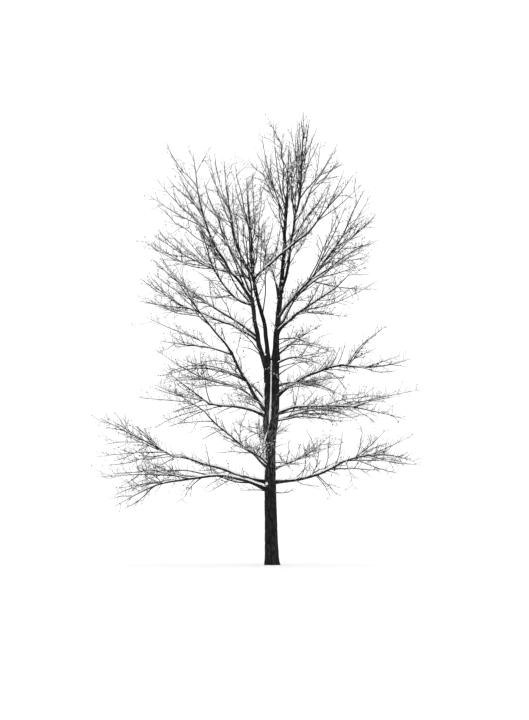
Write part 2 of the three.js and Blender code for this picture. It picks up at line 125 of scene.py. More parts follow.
# name, carrier, share of the carrier's length at which it leaves, bearing, reach, rise,
# slope where it leaves, slope at its tip, radius where it leaves, radius at its tip
LEADERS = [
  ["right_leader", "trunk", 0.985, 10, 240, 3500, 88, 86, 168, 125],
  ["inner_right_leader", "right_leader", 0.97, 20, 290, 3500, 82, 88, 115, 80],
  ["outer_right_leader", "right_leader", 0.985, 335, 780, 3650, 66, 80, 78, 58],
  ["left_leader", "left_stem", 0.9, 200, 800, 3430, 62, 79, 135, 95],
  ["centre_leader", "left_stem", 0.985, 160, 745, 4190, 94, 82, 115, 84],
]
BOUGHS = [
  ["upper_left_bough", "left_leader", 0.97, 205, 2250, 3000, 50, 62, 86, 52],
  ["left_long_bough", "centre_leader", 0.975, 160, 2300, 700, 22, 12, 74, 45],
  ["left_rising_bough", "centre_leader", 0.985, 215, 1300, 2250, 55, 78, 66, 40],
  ["snowy_bough", "centre_leader", 0.985, 322, 3750, 2300, 38, 40, 56, 43],
  ["upper_right_bough", "outer_right_leader", 0.96, 40, 1150, 1800, 35, 66, 50, 36],
  ["left_mid_bough", "left_leader", 0.381, 155, 3550, 1750, 40, 22, 70, 42],
  ["left_sweeping_bough", "left_stem", 0.39, 212, 2000, 2800, 42, 56, 92, 66],
  ["left_sweeping_top_bough", "left_sweeping_bough", 0.985, 208, 1350, 1500, 54, 50, 62, 42],
  ["left_inner_bough", "left_stem", 0.43, 165, 2150, 1220, 36, 8, 56, 38],
  ["left_lower_bough", "left_stem", 0.33, 195, 2900, 580, 30, 8, 80, 45],
  ["left_front_bough", "trunk", 0.455, 212, 3750, 2750, 36, 42, 56, 34],
  ["low_left_bough", "trunk", 0.347, 200, 3150, 760, 30, -8, 94, 62],
  ["low_left_back_bough", "trunk", 0.388, 168, 5000, 1400, 11, 6, 82, 50],
  ["low_right_bough", "trunk", 0.393, 345, 3700, 1000, 2, 32, 88, 55],
  ["right_lower_bough", "trunk", 0.718, 338, 2700, 400, 30, -4, 70, 45],
  ["right_mid_bough", "trunk", 0.802, 8, 3350, 1680, 50, 12, 86, 55],
  ["right_snowy_bough", "right_leader", 0.37, 318, 1400, 950, 48, 32, 80, 58],
  ["right_rising_bough", "right_leader", 0.63, 5, 1650, 1900, 54, 46, 92, 62],
]
# name, carrier, share of the carrier's length, then its stem and the arms that leave the stem:
# each arm is a share of the stem's length, bearing, reach, rise, slope where it leaves, slope at its tip
MASSES = [
  ["upper_left_spray", "upper_left_bough", 1, 48,
    [200, 950, 4300, 64, 84],
    [0.08, 195, 2650, 2450, 34, 46], [0.1, 170, 3150, 1900, 26, 42],
    [0.2, 225, 1800, 2200, 50, 62], [0.5, 190, 1400, 2000, 48, 65]],
  ["inner_left_spray", "left_leader", 0.99, 62,
    [140, 3300, 6600, 62, 72],
    [0.5, 165, 1900, 2500, 45, 60], [0.42, 110, 1900, 2600, 50, 68], [0.66, 175, 1300, 1700, 50, 65]],
  ["left_shoulder_spray", "left_leader", 0.904, 60,
    [232, 4200, 3600, -4, 74],
    [0.27, 197, 2400, 200, -20, 28], [0.5, 255, 1800, 1900, 40, 60], [0.6, 215, 1700, 1500, 30, 50]],
  ["left_high_spray", "left_long_bough", 1, 42,
    [172, 2900, 1750, 16, 34],
    [0.05, 155, 2500, 2050, 42, 45], [0.06, 186, 3200, 1250, -5, 40], [0.45, 160, 1500, 1300, 40, 50]],
  ["left_crown_spray", "left_rising_bough", 1, 37,
    [225, 600, 3500, 76, 84],
    [0.08, 200, 1200, 3550, 62, 82], [0.12, 190, 1850, 1400, 28, 52], [0.3, 255, 1000, 2300, 60, 78]],
  ["centre_crown_spray", "centre_leader", 0.99, 60,
    [115, 900, 5500, 84, 82],
    [0.45, 172, 900, 3000, 65, 80], [0.5, 50, 1200, 2500, 62, 78], [0.4, 262, 1100, 2500, 62, 80],
    [0.55, 130, 1300, 2200, 55, 72]],
  ["right_front_spray", "snowy_bough", 1, 40,
    [330, 2150, 2300, 48, 56],
    [0.06, 295, 1500, 1800, 45, 65], [0.1, 352, 2100, 1700, 32, 48], [0.3, 312, 1300, 1800, 55, 70]],
  ["crown_left_spray", "inner_right_leader", 1, 57,
    [60, 400, 4300, 84, 88],
    [0.04, 165, 1250, 4450, 62, 82], [0.1, 160, 700, 5000, 72, 90], [0.2, 150, 1750, 3000, 50, 62],
    [0.35, 30, 700, 2300, 65, 82]],
  ["top_spire_spray", "outer_right_leader", 1, 53,
    [20, 500, 5450, 76, 91],
    [0.25, 330, 700, 2900, 68, 86], [0.2, 85, 900, 3000, 66, 84], [0.45, 200, 550, 2300, 66, 88]],
  ["upper_right_spray", "upper_right_bough", 1, 33,
    [30, 1450, 2100, 55, 58],
    [0.1, 70, 1100, 2450, 62, 75], [0.04, 5, 1400, 1400, 35, 60], [0.3, 40, 1000, 1500, 62, 70]],
  ["left_mid_spray", "left_mid_bough", 1, 39,
    [165, 2750, 1800, 20, 38],
    [0.1, 185, 2500, 350, 5, 20], [0.3, 140, 1900, 1500, 35, 45]],
  ["left_second_spray", "left_leader", 0.447, 60,
    [192, 5200, 3700, 32, 45],
    [0.4, 205, 2200, 1500, 25, 45], [0.5, 178, 2000, 900, 15, 35], [0.65, 205, 1500, 1500, 45, 60]],
  ["left_sweeping_spray", "left_sweeping_top_bough", 1, 39,
    [205, 2550, 3000, 50, 50],
    [0.2, 235, 1700, 1900, 45, 60], [0.35, 190, 1900, 1300, 28, 40], [0.1, 185, 1700, 1700, 40, 50]],
  ["left_drooping_spray", "left_sweeping_bough", 0.965, 46,
    [188, 3650, 650, 24, 12],
    [0.22, 180, 3500, 1650, 30, 25], [0.4, 215, 2000, 500, 5, 25]],
  ["left_inner_spray", "left_inner_bough", 1, 35,
    [172, 3450, 1750, 12, 40],
    [0.06, 150, 2400, 500, 12, 5], [0.1, 190, 2500, 150, 10, -14]],
  ["left_lower_spray", "left_lower_bough", 1, 42,
    [200, 2350, 1650, 30, 28],
    [0.08, 222, 2200, 400, 0, 15], [0.12, 182, 2500, 600, 5, 25]],
  ["left_front_spray", "left_front_bough", 1, 31,
    [205, 2650, 1200, 34, 14],
    [0.06, 192, 2300, -900, -12, -28], [0.3, 185, 2500, 200, 10, 8], [0.2, 232, 1700, 700, 20, 30]],
  ["low_left_spray", "low_left_bough", 1, 62,
    [205, 4900, -1500, -4, -38],
    [0.05, 192, 5000, -50, 8, -3], [0.08, 232, 1500, -1200, -25, -60], [0.3, 182, 3000, -400, -5, -15],
    [0.2, 222, 2600, 500, 15, 20]],
  ["low_left_back_spray", "low_left_back_bough", 1, 46,
    [176, 3650, 1900, 28, 25],
    [0.06, 160, 2500, 1000, 20, 15], [0.15, 185, 1700, 1350, 45, 40], [0.1, 190, 3300, -250, 5, -5],
    [0.4, 165, 1900, 1100, 35, 30]],
  ["low_right_spray", "low_right_bough", 1, 51,
    [350, 3500, -50, 24, -22],
    [0.05, 330, 3000, -150, 0, -8], [0.12, 5, 1700, 1500, 45, 60], [0.03, 285, 1300, -1500, -38, -62],
    [0.35, 358, 2000, 900, 30, 35]],
  ["low_right_back_spray", "trunk", 0.447, 58,
    [48, 4600, 1900, 15, 35],
    [0.35, 25, 2400, 900, 20, 35], [0.5, 78, 2200, 700, 15, 25], [0.25, 100, 1700, 600, 20, 30]],
  ["right_drooping_spray", "trunk", 0.685, 52,
    [28, 4700, 250, 28, -24],
    [0.3, 12, 2500, -200, 0, -12], [0.5, 52, 2300, 300, 10, 5]],
  ["right_lower_spray", "right_lower_bough", 1, 42,
    [345, 3800, -650, -2, -18],
    [0.25, 0, 3650, 800, 20, 12], [0.35, 322, 2300, 400, 15, 5]],
  ["right_back_spray", "trunk", 0.855, 48,
    [42, 5000, -300, 24, -22],
    [0.35, 22, 2400, 300, 12, 5], [0.5, 72, 2100, 600, 20, 15]],
  ["right_mid_spray", "right_mid_bough", 1, 51,
    [0, 3450, 320, -6, 26],
    [0.1, 15, 1900, 2000, 66, 42], [0.08, 345, 1700, 1750, 68, 38], [0.35, 335, 1800, 500, 15, 20],
    [0.05, 60, 1700, 1300, 40, 50]],
  ["right_inner_spray", "right_leader", 0.05, 52,
    [20, 2350, 1650, 60, 42],
    [0.35, 345, 2100, -450, 8, -25], [0.45, 60, 1700, 900, 30, 40]],
  ["right_snowy_spray", "right_snowy_bough", 1, 54,
    [325, 3300, 1950, 34, 54],
    [0.06, 340, 3200, 900, 6, 26], [0.03, 352, 2400, -300, -5, -15], [0.15, 298, 1700, 1300, 40, 50]],
  ["right_rising_spray", "right_rising_bough", 1, 58,
    [355, 2700, 4500, 48, 66],
    [0.05, 338, 2900, 2700, 34, 48], [0.3, 8, 2300, 1900, 28, 40], [0.45, 350, 1600, 2300, 45, 65],
    [0.04, 330, 1850, 3500, 62, 66]],
  ["right_back_rising_spray", "right_leader", 0.3, 78,
    [38, 6500, 5600, 72, 30],
    [0.5, 22, 2800, 1000, 15, 25], [0.45, 15, 3500, -250, -8, 14], [0.55, 72, 2300, 2100, 40, 55]],
  ["right_arching_spray", "trunk", 0.965, 52,
    [312, 3500, -350, 26, -30],
    [0.35, 338, 2300, 300, 10, 15], [0.5, 282, 2100, 500, 15, 20]],
  ["back_low_spray", "trunk", 0.52, 62,
    [97, 5600, 2000, 25, 20],
    [0.35, 70, 2900, 900, 20, 25], [0.5, 125, 2600, 900, 20, 25]],
  ["back_left_spray", "left_stem", 0.5, 66,
    [148, 5700, 1700, 50, -20],
    [0.3, 112, 3300, 1500, 30, 30], [0.5, 160, 2200, 700, 15, 20]],
  ["back_high_spray", "right_leader", 0.75, 66,
    [106, 3900, 5200, 64, 56],
    [0.35, 80, 2600, 2000, 40, 50], [0.45, 140, 2100, 2200, 40, 55], [0.3, 95, 3000, 1300, 20, 35]],
  ["front_low_spray", "trunk", 0.47, 58,
    [252, 4800, 1000, 15, 15],
    [0.35, 278, 2500, 600, 15, 20], [0.45, 225, 2200, 700, 20, 20]],
  ["front_high_spray", "left_leader", 0.642, 62,
    [262, 3800, 4300, 42, 58],
    [0.35, 292, 2300, 1500, 30, 48], [0.45, 235, 2000, 1800, 40, 55]],
]

# Lesser limbs that no solid stands for, by what carries them; a mass carries them on its stem. Each is a
# share of the carrier's length, bearing, reach, rise, slope where it leaves, slope at its tip, radius where
# it leaves, radius at its tip. A limb's place in the whole list sets its crook, so new ones come last.
SIDE_LIMBS = [
  ["trunk",
    [0.345, 200, 1600, 100, 20, 0, 30, 10], [0.351, 335, 1250, 50, -14, 25, 34, 12],
    [0.43, 330, 900, 500, 35, 20, 24, 8], [0.46, 5, 1500, 250, 15, 10, 26, 9],
    [0.487, 10, 1450, -100, 12, -12, 34, 12], [0.546, 345, 800, 350, 40, 15, 24, 8],
    [0.6, 340, 700, 1100, 55, 62, 22, 8], [0.69, 350, 3400, -60, 15, -14, 45, 20],
    [0.715, 15, 3800, 100, 18, -24, 36, 12], [0.835, 355, 2200, 250, 12, -4, 34, 14],
    [0.9, 350, 1350, 800, 50, 22, 34, 12]],
  ["low_left_bough",
    [0.35, 200, 1900, 400, -15, 20, 46, 30], [0.6, 215, 1500, -700, -20, -35, 24, 8],
    [0.95, 200, 370, 1500, 70, 80, 26, 9], [0.98, 192, 4900, 60, 14, -6, 36, 10]],
  ["low_left_spray",
    [0.3, 170, 3300, -700, 5, -25, 22, 7], [0.45, 215, 1900, -300, 0, -20, 20, 7],
    [0.6, 190, 1250, -950, -45, -15, 18, 6]],
  ["low_left_back_bough",
    [0.9, 205, 3000, -300, 5, -12, 24, 8], [0.97, 190, 2000, -850, -35, -12, 26, 8]],
  ["low_left_back_spray",
    [0.05, 195, 3100, -600, -10, -8, 24, 7], [0.1, 187, 3000, 350, 30, -15, 28, 8],
    [0.2, 165, 1300, 1150, 60, 30, 22, 7], [0.3, 200, 1950, -850, -25, -8, 20, 7],
    [0.6, 150, 900, 1100, 55, 60, 18, 6]],
  ["left_front_bough",
    [0.45, 160, 1500, 900, 20, 40, 20, 7], [0.72, 190, 1000, -550, -20, -35, 20, 7],
    [0.85, 175, 2200, -250, 5, -20, 22, 7]],
  ["left_lower_bough",
    [0.58, 200, 950, -450, -20, -35, 30, 10], [0.7, 185, 2400, -900, 0, -30, 22, 7],
    [0.85, 195, 2300, -450, 5, -22, 22, 7], [0.97, 190, 520, 2600, 70, 82, 28, 8]],
  ["left_sweeping_bough",
    [0.5, 190, 4100, 350, 45, -32, 36, 12], [0.62, 200, 1700, -250, 35, -35, 24, 8],
    [0.75, 165, 2300, 200, 40, -20, 24, 8]],
  ["left_sweeping_top_bough",
    [0.25, 170, 250, 900, 75, 80, 34, 12], [0.95, 185, 1000, 1500, 10, 70, 30, 9]],
  ["left_inner_bough",
    [0.7, 200, 2600, -150, 10, -15, 22, 7], [0.9, 178, 3200, 150, 30, -10, 22, 7]],
  ["left_mid_bough",
    [0.75, 190, 2700, 500, -5, 20, 26, 7], [0.9, 200, 2300, 300, -15, 8, 24, 7]],
  ["left_mid_spray",
    [0.15, 190, 2300, 250, -8, 8, 22, 7], [0.3, 175, 2000, 1300, 30, 35, 22, 7]],
  ["left_leader",
    [0.15, 200, 1300, 500, 50, 0, 22, 7], [0.75, 190, 900, -1900, -15, -72, 18, 6]],
  ["left_long_bough",
    [0.6, 205, 1600, 1900, 40, 55, 28, 9], [0.93, 200, 900, 2100, 55, 72, 28, 9],
    [0.97, 190, 3100, 1250, -5, 35, 30, 9]],
  ["left_high_spray",
    [0.2, 150, 1700, 1500, 45, 45, 24, 8], [0.4, 190, 1700, 300, 0, 20, 20, 6]],
  ["upper_left_bough",
    [0.27, 185, 1950, 3200, 50, 62, 44, 14], [0.6, 220, 2300, 2600, 35, 55, 32, 9],
    [0.85, 180, 2900, 2100, 25, 42, 30, 8]],
  ["upper_left_spray",
    [0.29, 190, 1830, 1800, 42, 52, 26, 8], [0.31, 160, 1280, 1850, 45, 62, 22, 8],
    [0.57, 215, 1830, 2100, 42, 62, 22, 8]],
  ["left_rising_bough",
    [0.3, 190, 2100, 2300, 45, 55, 28, 8], [0.5, 240, 900, 3300, 72, 82, 32, 9]],
  ["left_crown_spray",
    [0.05, 170, 1500, 1300, 40, 45, 22, 8], [0.27, 200, 800, 2900, 66, 82, 24, 8],
    [0.3, 150, 1200, 2200, 58, 68, 22, 7]],
  ["centre_leader",
    [0.53, 60, 350, 4900, 80, 88, 36, 10], [0.9, 190, 1150, 2400, 65, 76, 32, 10],
    [0.96, 60, 700, 5200, 84, 84, 36, 10], [0.97, 215, 1100, 5850, 86, 78, 54, 12],
    [0.98, 100, 350, 5300, 86, 88, 44, 10]],
  ["snowy_bough",
    [0.12, 80, 400, 2500, 82, 84, 26, 8], [0.15, 40, 700, 2600, 80, 78, 28, 8],
    [0.35, 20, 500, 2800, 80, 84, 28, 8], [0.6, 335, 2100, 3000, 65, 60, 36, 10]],
  ["right_leader", [0.29, 350, 2650, -550, 12, -25, 36, 12]],
  ["inner_right_leader",
    [0.8, 140, 900, 4300, 78, 86, 40, 10], [0.85, 60, 500, 4400, 80, 88, 38, 10],
    [0.9, 185, 900, 1600, 60, 70, 24, 7], [0.95, 170, 1900, 3500, 75, 45, 30, 8],
    [0.97, 250, 500, 4600, 84, 88, 46, 11]],
  ["outer_right_leader",
    [0.6, 350, 1700, 2400, 50, 60, 30, 9], [0.74, 345, 1850, 2300, 50, 58, 40, 12],
    [0.85, 100, 500, 4300, 82, 88, 38, 10], [0.93, 160, 950, 5200, 92, 84, 46, 12]],
  ["top_spire_spray",
    [0.03, 350, 420, 5100, 80, 88, 36, 10], [0.05, 60, 400, 4500, 82, 88, 33, 10],
    [0.1, 280, 300, 4300, 80, 88, 32, 10], [0.18, 330, 2100, 2500, 45, 60, 38, 10],
    [0.3, 10, 480, 3500, 82, 82, 34, 9], [0.35, 20, 1000, 2100, 55, 60, 26, 8],
    [0.5, 340, 850, 1900, 60, 65, 24, 7]],
  ["upper_right_bough", [0.8, 10, 1570, 2000, 42, 62, 30, 9]],
  ["upper_right_spray", [0.35, 20, 1300, 700, 15, 20, 20, 6]],
  ["right_rising_bough",
    [0.9, 345, 1700, 3600, 58, 64, 36, 10], [0.93, 350, 3050, 1200, 32, 5, 30, 9],
    [0.96, 20, 3100, 1800, 28, 35, 34, 9]],
  ["right_rising_spray",
    [0.2, 30, 2000, 2300, 40, 52, 28, 8], [0.36, 5, 2000, 300, -8, 18, 24, 7],
    [0.38, 350, 2100, 1600, 25, 42, 28, 8], [0.5, 20, 1350, 1000, 38, 35, 24, 8]],
  ["right_snowy_bough", [0.9, 330, 2200, -150, 15, -25, 28, 8]],
  ["right_snowy_spray", [0.1, 345, 2300, 1650, 30, 45, 28, 8]],
  ["right_mid_bough",
    [0.6, 20, 2300, 100, 25, -15, 26, 8], [0.72, 350, 1250, -1000, -5, -68, 28, 10]],
  ["right_mid_spray",
    [0.05, 10, 1600, 900, 40, 22, 24, 8], [0.2, 345, 2100, -250, -15, 15, 24, 7]],
  ["right_lower_bough",
    [0.6, 350, 2300, -250, 0, -20, 28, 8], [0.9, 10, 3000, 550, 20, 8, 30, 8]],
  ["right_lower_spray", [0.15, 350, 2400, 350, 20, 5, 24, 7]],
  ["low_right_bough",
    [0.3, 10, 900, 900, 30, 45, 26, 8], [0.4, 350, 300, 1500, 60, 80, 24, 8],
    [0.52, 350, 1250, 350, 62, -20, 34, 12], [0.55, 340, 450, 1800, 60, 80, 24, 8],
    [0.6, 20, 800, -1050, -50, -75, 26, 8], [0.62, 345, 1050, -1100, -38, -55, 32, 10],
    [0.7, 10, 380, 1900, 60, 82, 24, 8], [0.75, 340, 700, -200, -12, -25, 26, 8],
    [0.8, 355, 2600, -50, 4, 0, 38, 12], [0.88, 330, 420, 1700, 60, 80, 24, 8]],
  ["low_right_spray",
    [0.15, 5, 2200, -700, -25, -8, 24, 7], [0.2, 345, 1500, 700, 45, 12, 26, 8],
    [0.35, 350, 2400, -450, -25, -5, 28, 8]],
  ["left_leader",
    [0.86, 180, 2700, 4300, 52, 66, 48, 13], [0.9, 190, 1900, 5000, 62, 74, 54, 14],
    [0.94, 200, 1300, 5300, 68, 80, 52, 13]],
  ["centre_leader", [0.7, 185, 900, 4400, 76, 84, 46, 12]],
  ["right_leader",
    [0.12, 350, 1700, 700, 35, 15, 26, 8], [0.2, 10, 1300, 600, 30, 20, 24, 8]],
  ["trunk",
    [0.94, 5, 2100, 350, 35, -5, 30, 9], [0.862, 350, 3250, -480, 16, -18, 34, 9]],
  ["right_mid_bough",
    [0.65, 350, 700, 900, 55, 70, 24, 8], [0.75, 10, 600, 1000, 60, 75, 24, 8],
    [0.85, 345, 500, 1100, 62, 78, 24, 8], [0.93, 5, 450, 1200, 65, 80, 24, 8]],
  ["top_spire_spray",
    [0.25, 200, 250, 3000, 86, 90, 24, 9], [0.45, 0, 380, 2400, 75, 82, 26, 8],
    [0.55, 180, 100, 2000, 88, 92, 24, 8], [0.7, 340, 300, 1300, 70, 78, 20, 7]],
  ["left_leader", [0.2, 240, 2700, 1500, 30, 42, 34, 10]],
  ["right_leader",
    [0.38, 72, 2900, 1300, 28, 38, 34, 10], [0.6, 300, 2400, 1700, 35, 48, 32, 10]],
  ["inner_right_leader", [0.3, 298, 2300, 2300, 42, 55, 32, 9]],
  ["outer_right_leader", [0.35, 62, 2500, 2300, 42, 55, 30, 9]],
  ["trunk", [0.8, 290, 3300, 500, 25, 0, 36, 10]],
  ["left_stem",
    [0.4, 240, 3200, 700, 28, 5, 36, 10], [0.35, 118, 3100, 900, 30, 10, 36, 10]],
]

# ---- repeatable chance ----

WORD = 0xFFFFFFFF


def mix(a, b):
    """A number that depends on both of its inputs and on nothing else."""
    h = (a ^ (((b + 0x9E3779B9) * 0x85EBCA6B) & WORD)) & WORD
    h = (h * 0xC2B2AE35) & WORD
    h ^= h >> 16
    return (h * 0x27D4EB2F) & WORD


def dice(seed):
    """Rolls one number from 0 to 1 after another, always the same ones for a seed."""
    state = seed & WORD

    def roll():
        nonlocal state
        state = (state * 1664525 + 1013904223) & WORD
        return state / (WORD + 1)

    return roll


# ---- lines of growth: points from foot to tip in metres, with the radius at each ----

Line = namedtuple("Line", "points radii")


def lerp(a, b, share):
    return a + (b - a) * share


def unit(vectors):
    return vectors / np.maximum(np.linalg.norm(vectors, axis=-1, keepdims=True), 1e-12)


def heading(bearing, slope):
    turn, tilt = math.radians(bearing), math.radians(slope)
    return np.array([math.cos(tilt) * math.cos(turn), math.cos(tilt) * math.sin(turn), math.sin(tilt)])


def nearest_whole(value):
    return math.floor(value + 0.5)


def stem_line(stations):
    points = np.array([[lean, 0, height] for height, lean, _ in stations]) * MM
    return Line(points, np.array([radius for *_, radius in stations]) * MM)


def limb_line(start, shape, thick, thin, step, seed, crook=CROOK):
    """A crooked line that leaves start and arrives at its tip at the given slopes."""
    bearing, reach, rise, leave, arrive = shape
    end = start + heading(bearing, 0) * reach * MM + UP * rise * MM
    length = np.linalg.norm(end - start)
    first = start + heading(bearing, leave) * length / 3
    second = end - heading(bearing, arrive) * length / 3
    steps = max(2, nearest_whole(length / (step * MM)))
    roll = dice(seed)
    points = []
    for i in range(steps + 1):
        t = i / steps
        bend = (1 - t) ** 3 * start + 3 * (1 - t) ** 2 * t * first + 3 * (1 - t) * t**2 * second + t**3 * end
        stray = np.array([2 * roll() - 1 for _ in range(3)]) * crook * length
        points.append(bend + stray if 0 < i < steps else bend)
    return Line(np.array(points), np.linspace(thick, thin, steps + 1) * MM)


def place_on(line, share):
    """The place, direction and radius at a share of a line's length."""
    steps = np.diff(line.points, axis=0)
    lengths = np.linalg.norm(steps, axis=1)
    left = share * lengths.sum()
    i = 0
    while i < len(lengths) - 1 and left > lengths[i]:
        left -= lengths[i]
        i += 1
    part = min(1.0, left / lengths[i])
    radius = lerp(line.radii[i], line.radii[i + 1], part)
    return line.points[i] + steps[i] * part, steps[i] / lengths[i], radius


def first_twig(line, share, length, turn, fork, lift):
    """A twig opens from its carrier to one side and turns up towards the light."""
    point, along, _ = place_on(line, share)
    side = np.array([1.0, 0.0, 0.0]) if abs(along[2]) > STRAIGHT_UP else unit(np.cross(along, UP))
    over = np.cross(side, along)
    out = side * math.cos(turn) + over * math.sin(turn)
    first = unit(along * math.cos(fork) + out * math.sin(fork) + UP * lift)
    second = unit(first + UP * lift)
    middle = point + first * length / 2
    points = np.array([point, middle, middle + second * length / 2])
    return Line(points, np.array([TWIG["radius"], (TWIG["radius"] + TWIG["tip"]) / 2, TWIG["tip"]]) * MM)


def smooth(line, step):
    """The same line on one smooth curve through its points, with a place every step."""
    nodes = np.column_stack([line.points, line.radii])
    gaps = np.linalg.norm(np.diff(line.points, axis=0), axis=1)
    slopes = np.diff(nodes, axis=0) / gaps[:, None]
    inner = (slopes[:-1] * gaps[1:, None] + slopes[1:] * gaps[:-1, None]) / (gaps[1:] + gaps[:-1])[:, None]
    first = 1.5 * slopes[0] - 0.5 * inner[0] if len(inner) else slopes[0]
    last = 1.5 * slopes[-1] - 0.5 * inner[-1] if len(inner) else slopes[-1]
    tangents = np.vstack([first, inner, last])
    places = []
    for i, gap in enumerate(gaps):
        count = max(1, nearest_whole(gap / step))
        t = (np.arange(count) / count)[:, None]
        places.append(
            (2 * t**3 - 3 * t**2 + 1) * nodes[i]
            + (t**3 - 2 * t**2 + t) * gap * tangents[i]
            + (3 * t**2 - 2 * t**3) * nodes[i + 1]
            + (t**3 - t**2) * gap * tangents[i + 1]
        )
    made = np.vstack([*places, nodes[-1:]])
    return Line(made[:, :3], made[:, 3])


def length_of(line):
    return np.linalg.norm(np.diff(line.points, axis=0), axis=1).sum()


# ---- the whole tree as lines ----

LINE_STEP = 0.12  # between two places of a smooth limb
SIDE_CROOK = 1.5 * CROOK  # lesser limbs are less straight


def grow_limbs():
    """Every limb by name, in the order in which they grow, with the carrier it leaves."""
    limbs = {"trunk": stem_line(TRUNK), "left_stem": stem_line(LEFT_STEM)}
    carriers = {}
    for name, carrier, share, *shape, thick, thin in LEADERS + BOUGHS:
        start = place_on(limbs[carrier], share)[0]
        limbs[name] = limb_line(start, shape, thick, thin, LIMB_STEP, mix(len(limbs), 1))
        carriers[name] = carrier, share
    return limbs, carriers


def grow_masses(limbs):
    """The stem and arms of every mass."""
    masses = []
    for index, (_, carrier, share, thick, stem, *arms) in enumerate(MASSES):
        start = place_on(limbs[carrier], share)[0]
        step = SPRAY_STEM["step"]
        lines = [limb_line(start, stem, thick, thick * SPRAY_STEM["tip"], step, mix(index, 100))]
        for i, (at, *shape) in enumerate(arms):
            point, _, radius = place_on(lines[0], at)
            foot, tip = radius / MM * SPRAY_ARM["foot"], radius / MM * SPRAY_ARM["tip"]
            lines.append(limb_line(point, shape, foot, tip, SPRAY_ARM["step"], mix(index, 101 + i)))
        masses.append(lines)
    return masses


def grow_side_limbs(limbs, masses):
    """The lesser limbs, listed by the name of what carries them."""
    carriers = limbs | {row[0]: lines[0] for row, lines in zip(MASSES, masses)}
    grown = {name: [] for name in carriers}
    rows = [(carrier, *row) for carrier, *limbs in SIDE_LIMBS for row in limbs]
    for index, (carrier, share, *shape, thick, thin) in enumerate(rows):
        start = place_on(carriers[carrier], share)[0]
        grown[carrier].append(limb_line(start, shape, thick, thin, LIMB_STEP, mix(index, 300), SIDE_CROOK))
    return grown


def first_twigs(line, owner, arm_index):
    """The twigs that the solids have, on one stem or arm."""
    length = length_of(line) / MM
    count = nearest_whole(length / TWIG["spacing"])
    twigs = []
    for k in range(count):
        roll = dice(mix(mix(owner, 200 + arm_index), k))
        roll()
        share = lerp(TWIG["first"], TWIG["last"], (k + roll()) / count)
        longest = min(TWIG["longest"], TWIG["share"] * length)
        size = longest * (1 - TWIG["shrink"] * share) * lerp(*TWIG["vary"], roll())
        turn = (math.pi if k % 2 else 0) + (2 * roll() - 1) * TWIG["turn"]
        fork = math.radians(lerp(*TWIG["fork"], roll()))
        lift = lerp(*TWIG["lift"], roll())
        twigs.append(first_twig(line, share, size * MM, turn, fork, lift))
    return twigs


LIMBS, CARRIERS = grow_limbs()
MASS_LINES = grow_masses(LIMBS)
SIDE_LINES = grow_side_limbs(LIMBS, MASS_LINES)
ALL_MASS_LINES = [line for lines in MASS_LINES for line in lines]
ALL_SIDE_LINES = [line for lines in SIDE_LINES.values() for line in lines]
SMOOTH_LIMBS = {name: smooth(line, LINE_STEP) for name, line in LIMBS.items()}
SMOOTH_MASSES = [[smooth(line, LINE_STEP) for line in lines] for lines in MASS_LINES]
SMOOTH_SIDES = {name: [smooth(line, LINE_STEP) for line in lines] for name, lines in SIDE_LINES.items()}

# ---- finer shoots, grown many at a time: points (shoots, places, 3) and radii (shoots, places) ----

Shoots = namedtuple("Shoots", "points radii")
# spacing along the carrier, first and last share of it, longest, length as a share of the carrier's, how much
# shorter towards its tip, spread of lengths, turn off the flat, angles of forking, lift, radii and places
Rule = namedtuple("Rule", "spacing first last longest share shrink vary turn fork lift radius tip places")
BRANCH_RULE = Rule(0.68, 0.06, 0.93, 2.6, 0.56, 0.5, (0.4, 1.15), 1.2, (28, 55), (0.0, 0.25), 0.025, 0.011, 8)
LONG_RULE = Rule(0.5, 0.08, 0.98, 1.05, 0.36, 0.5, (0.4, 1.2), 1.3, (32, 66), (0.0, 0.3), 0.018, 0.009, 6)
BRUSH_RULE = Rule(0.4, 0.15, 0.98, 1.0, 0.35, 0.3, (0.15, 1.0), 1.0, (40, 75), (0.3, 1.1), 0.0125, 0.006, 5)
SHORT_RULE = Rule(0.42, 0.15, 0.97, 0.6, 0.42, 0.4, (0.35, 1.2), 1.5, (35, 75), (0.0, 0.4), 0.0125, 0.006, 4)
FINE_RULE = Rule(0.32, 0.2, 0.97, 0.28, 0.5, 0.4, (0.4, 1.2), 1.5, (35, 80), (0.05, 0.4), 0.008, 0.005, 3)
LIMB_PLACES = 9  # of a limb, stem or arm that carries shoots
LEVEL = 0.8  # a stretch of limb this level or more carries a brush of upright twigs
# how long the twigs of a mass are beside the others'
REACHES = {"top_spire_spray": 0.5, "right_mid_spray": 0.7, "crown_left_spray": 0.75}
# where the crown is more open than elsewhere, by the share of the twigs that grows
OPEN = {
    0.45: ["right_front_spray"],
    0.5: ["left_leader", "centre_leader", "inner_left_spray", "front_high_spray", "crown_left_spray"],
    0.55: ["right_rising_spray", "upper_right_spray"],
    0.6: ["back_left_spray", "centre_crown_spray", "right_back_rising_spray", "top_spire_spray"],
    0.7: [
        "back_high_spray", "left_second_spray", "left_sweeping_spray", "upper_left_spray", "left_inner_spray"
    ],
    0.75: ["left_high_spray", "left_lower_spray"],
    0.8: ["left_crown_spray", "left_drooping_spray", "low_left_back_spray", "low_left_spray"],
}
THINNED = {name: share for share, names in OPEN.items() for name in names}
CLEAN = 0.3  # share of a limb's length, from its foot, that carries no twigs
WANDER = 0.16  # how far a shoot turns aside from one of its places to the next
ROOM = 0.02  # how far past the solids' box a twig may reach, as a share of each side
LOWEST = 1.5  # no twig hangs lower
CLEAR = 0.75  # how near the middle of the trunk a shoot may begin
SLENDER = 0.6  # thickness of the shortest shoots beside the longest of their rule
LIGHTER = 0.75  # a shoot is at most this share of its carrier's thickness


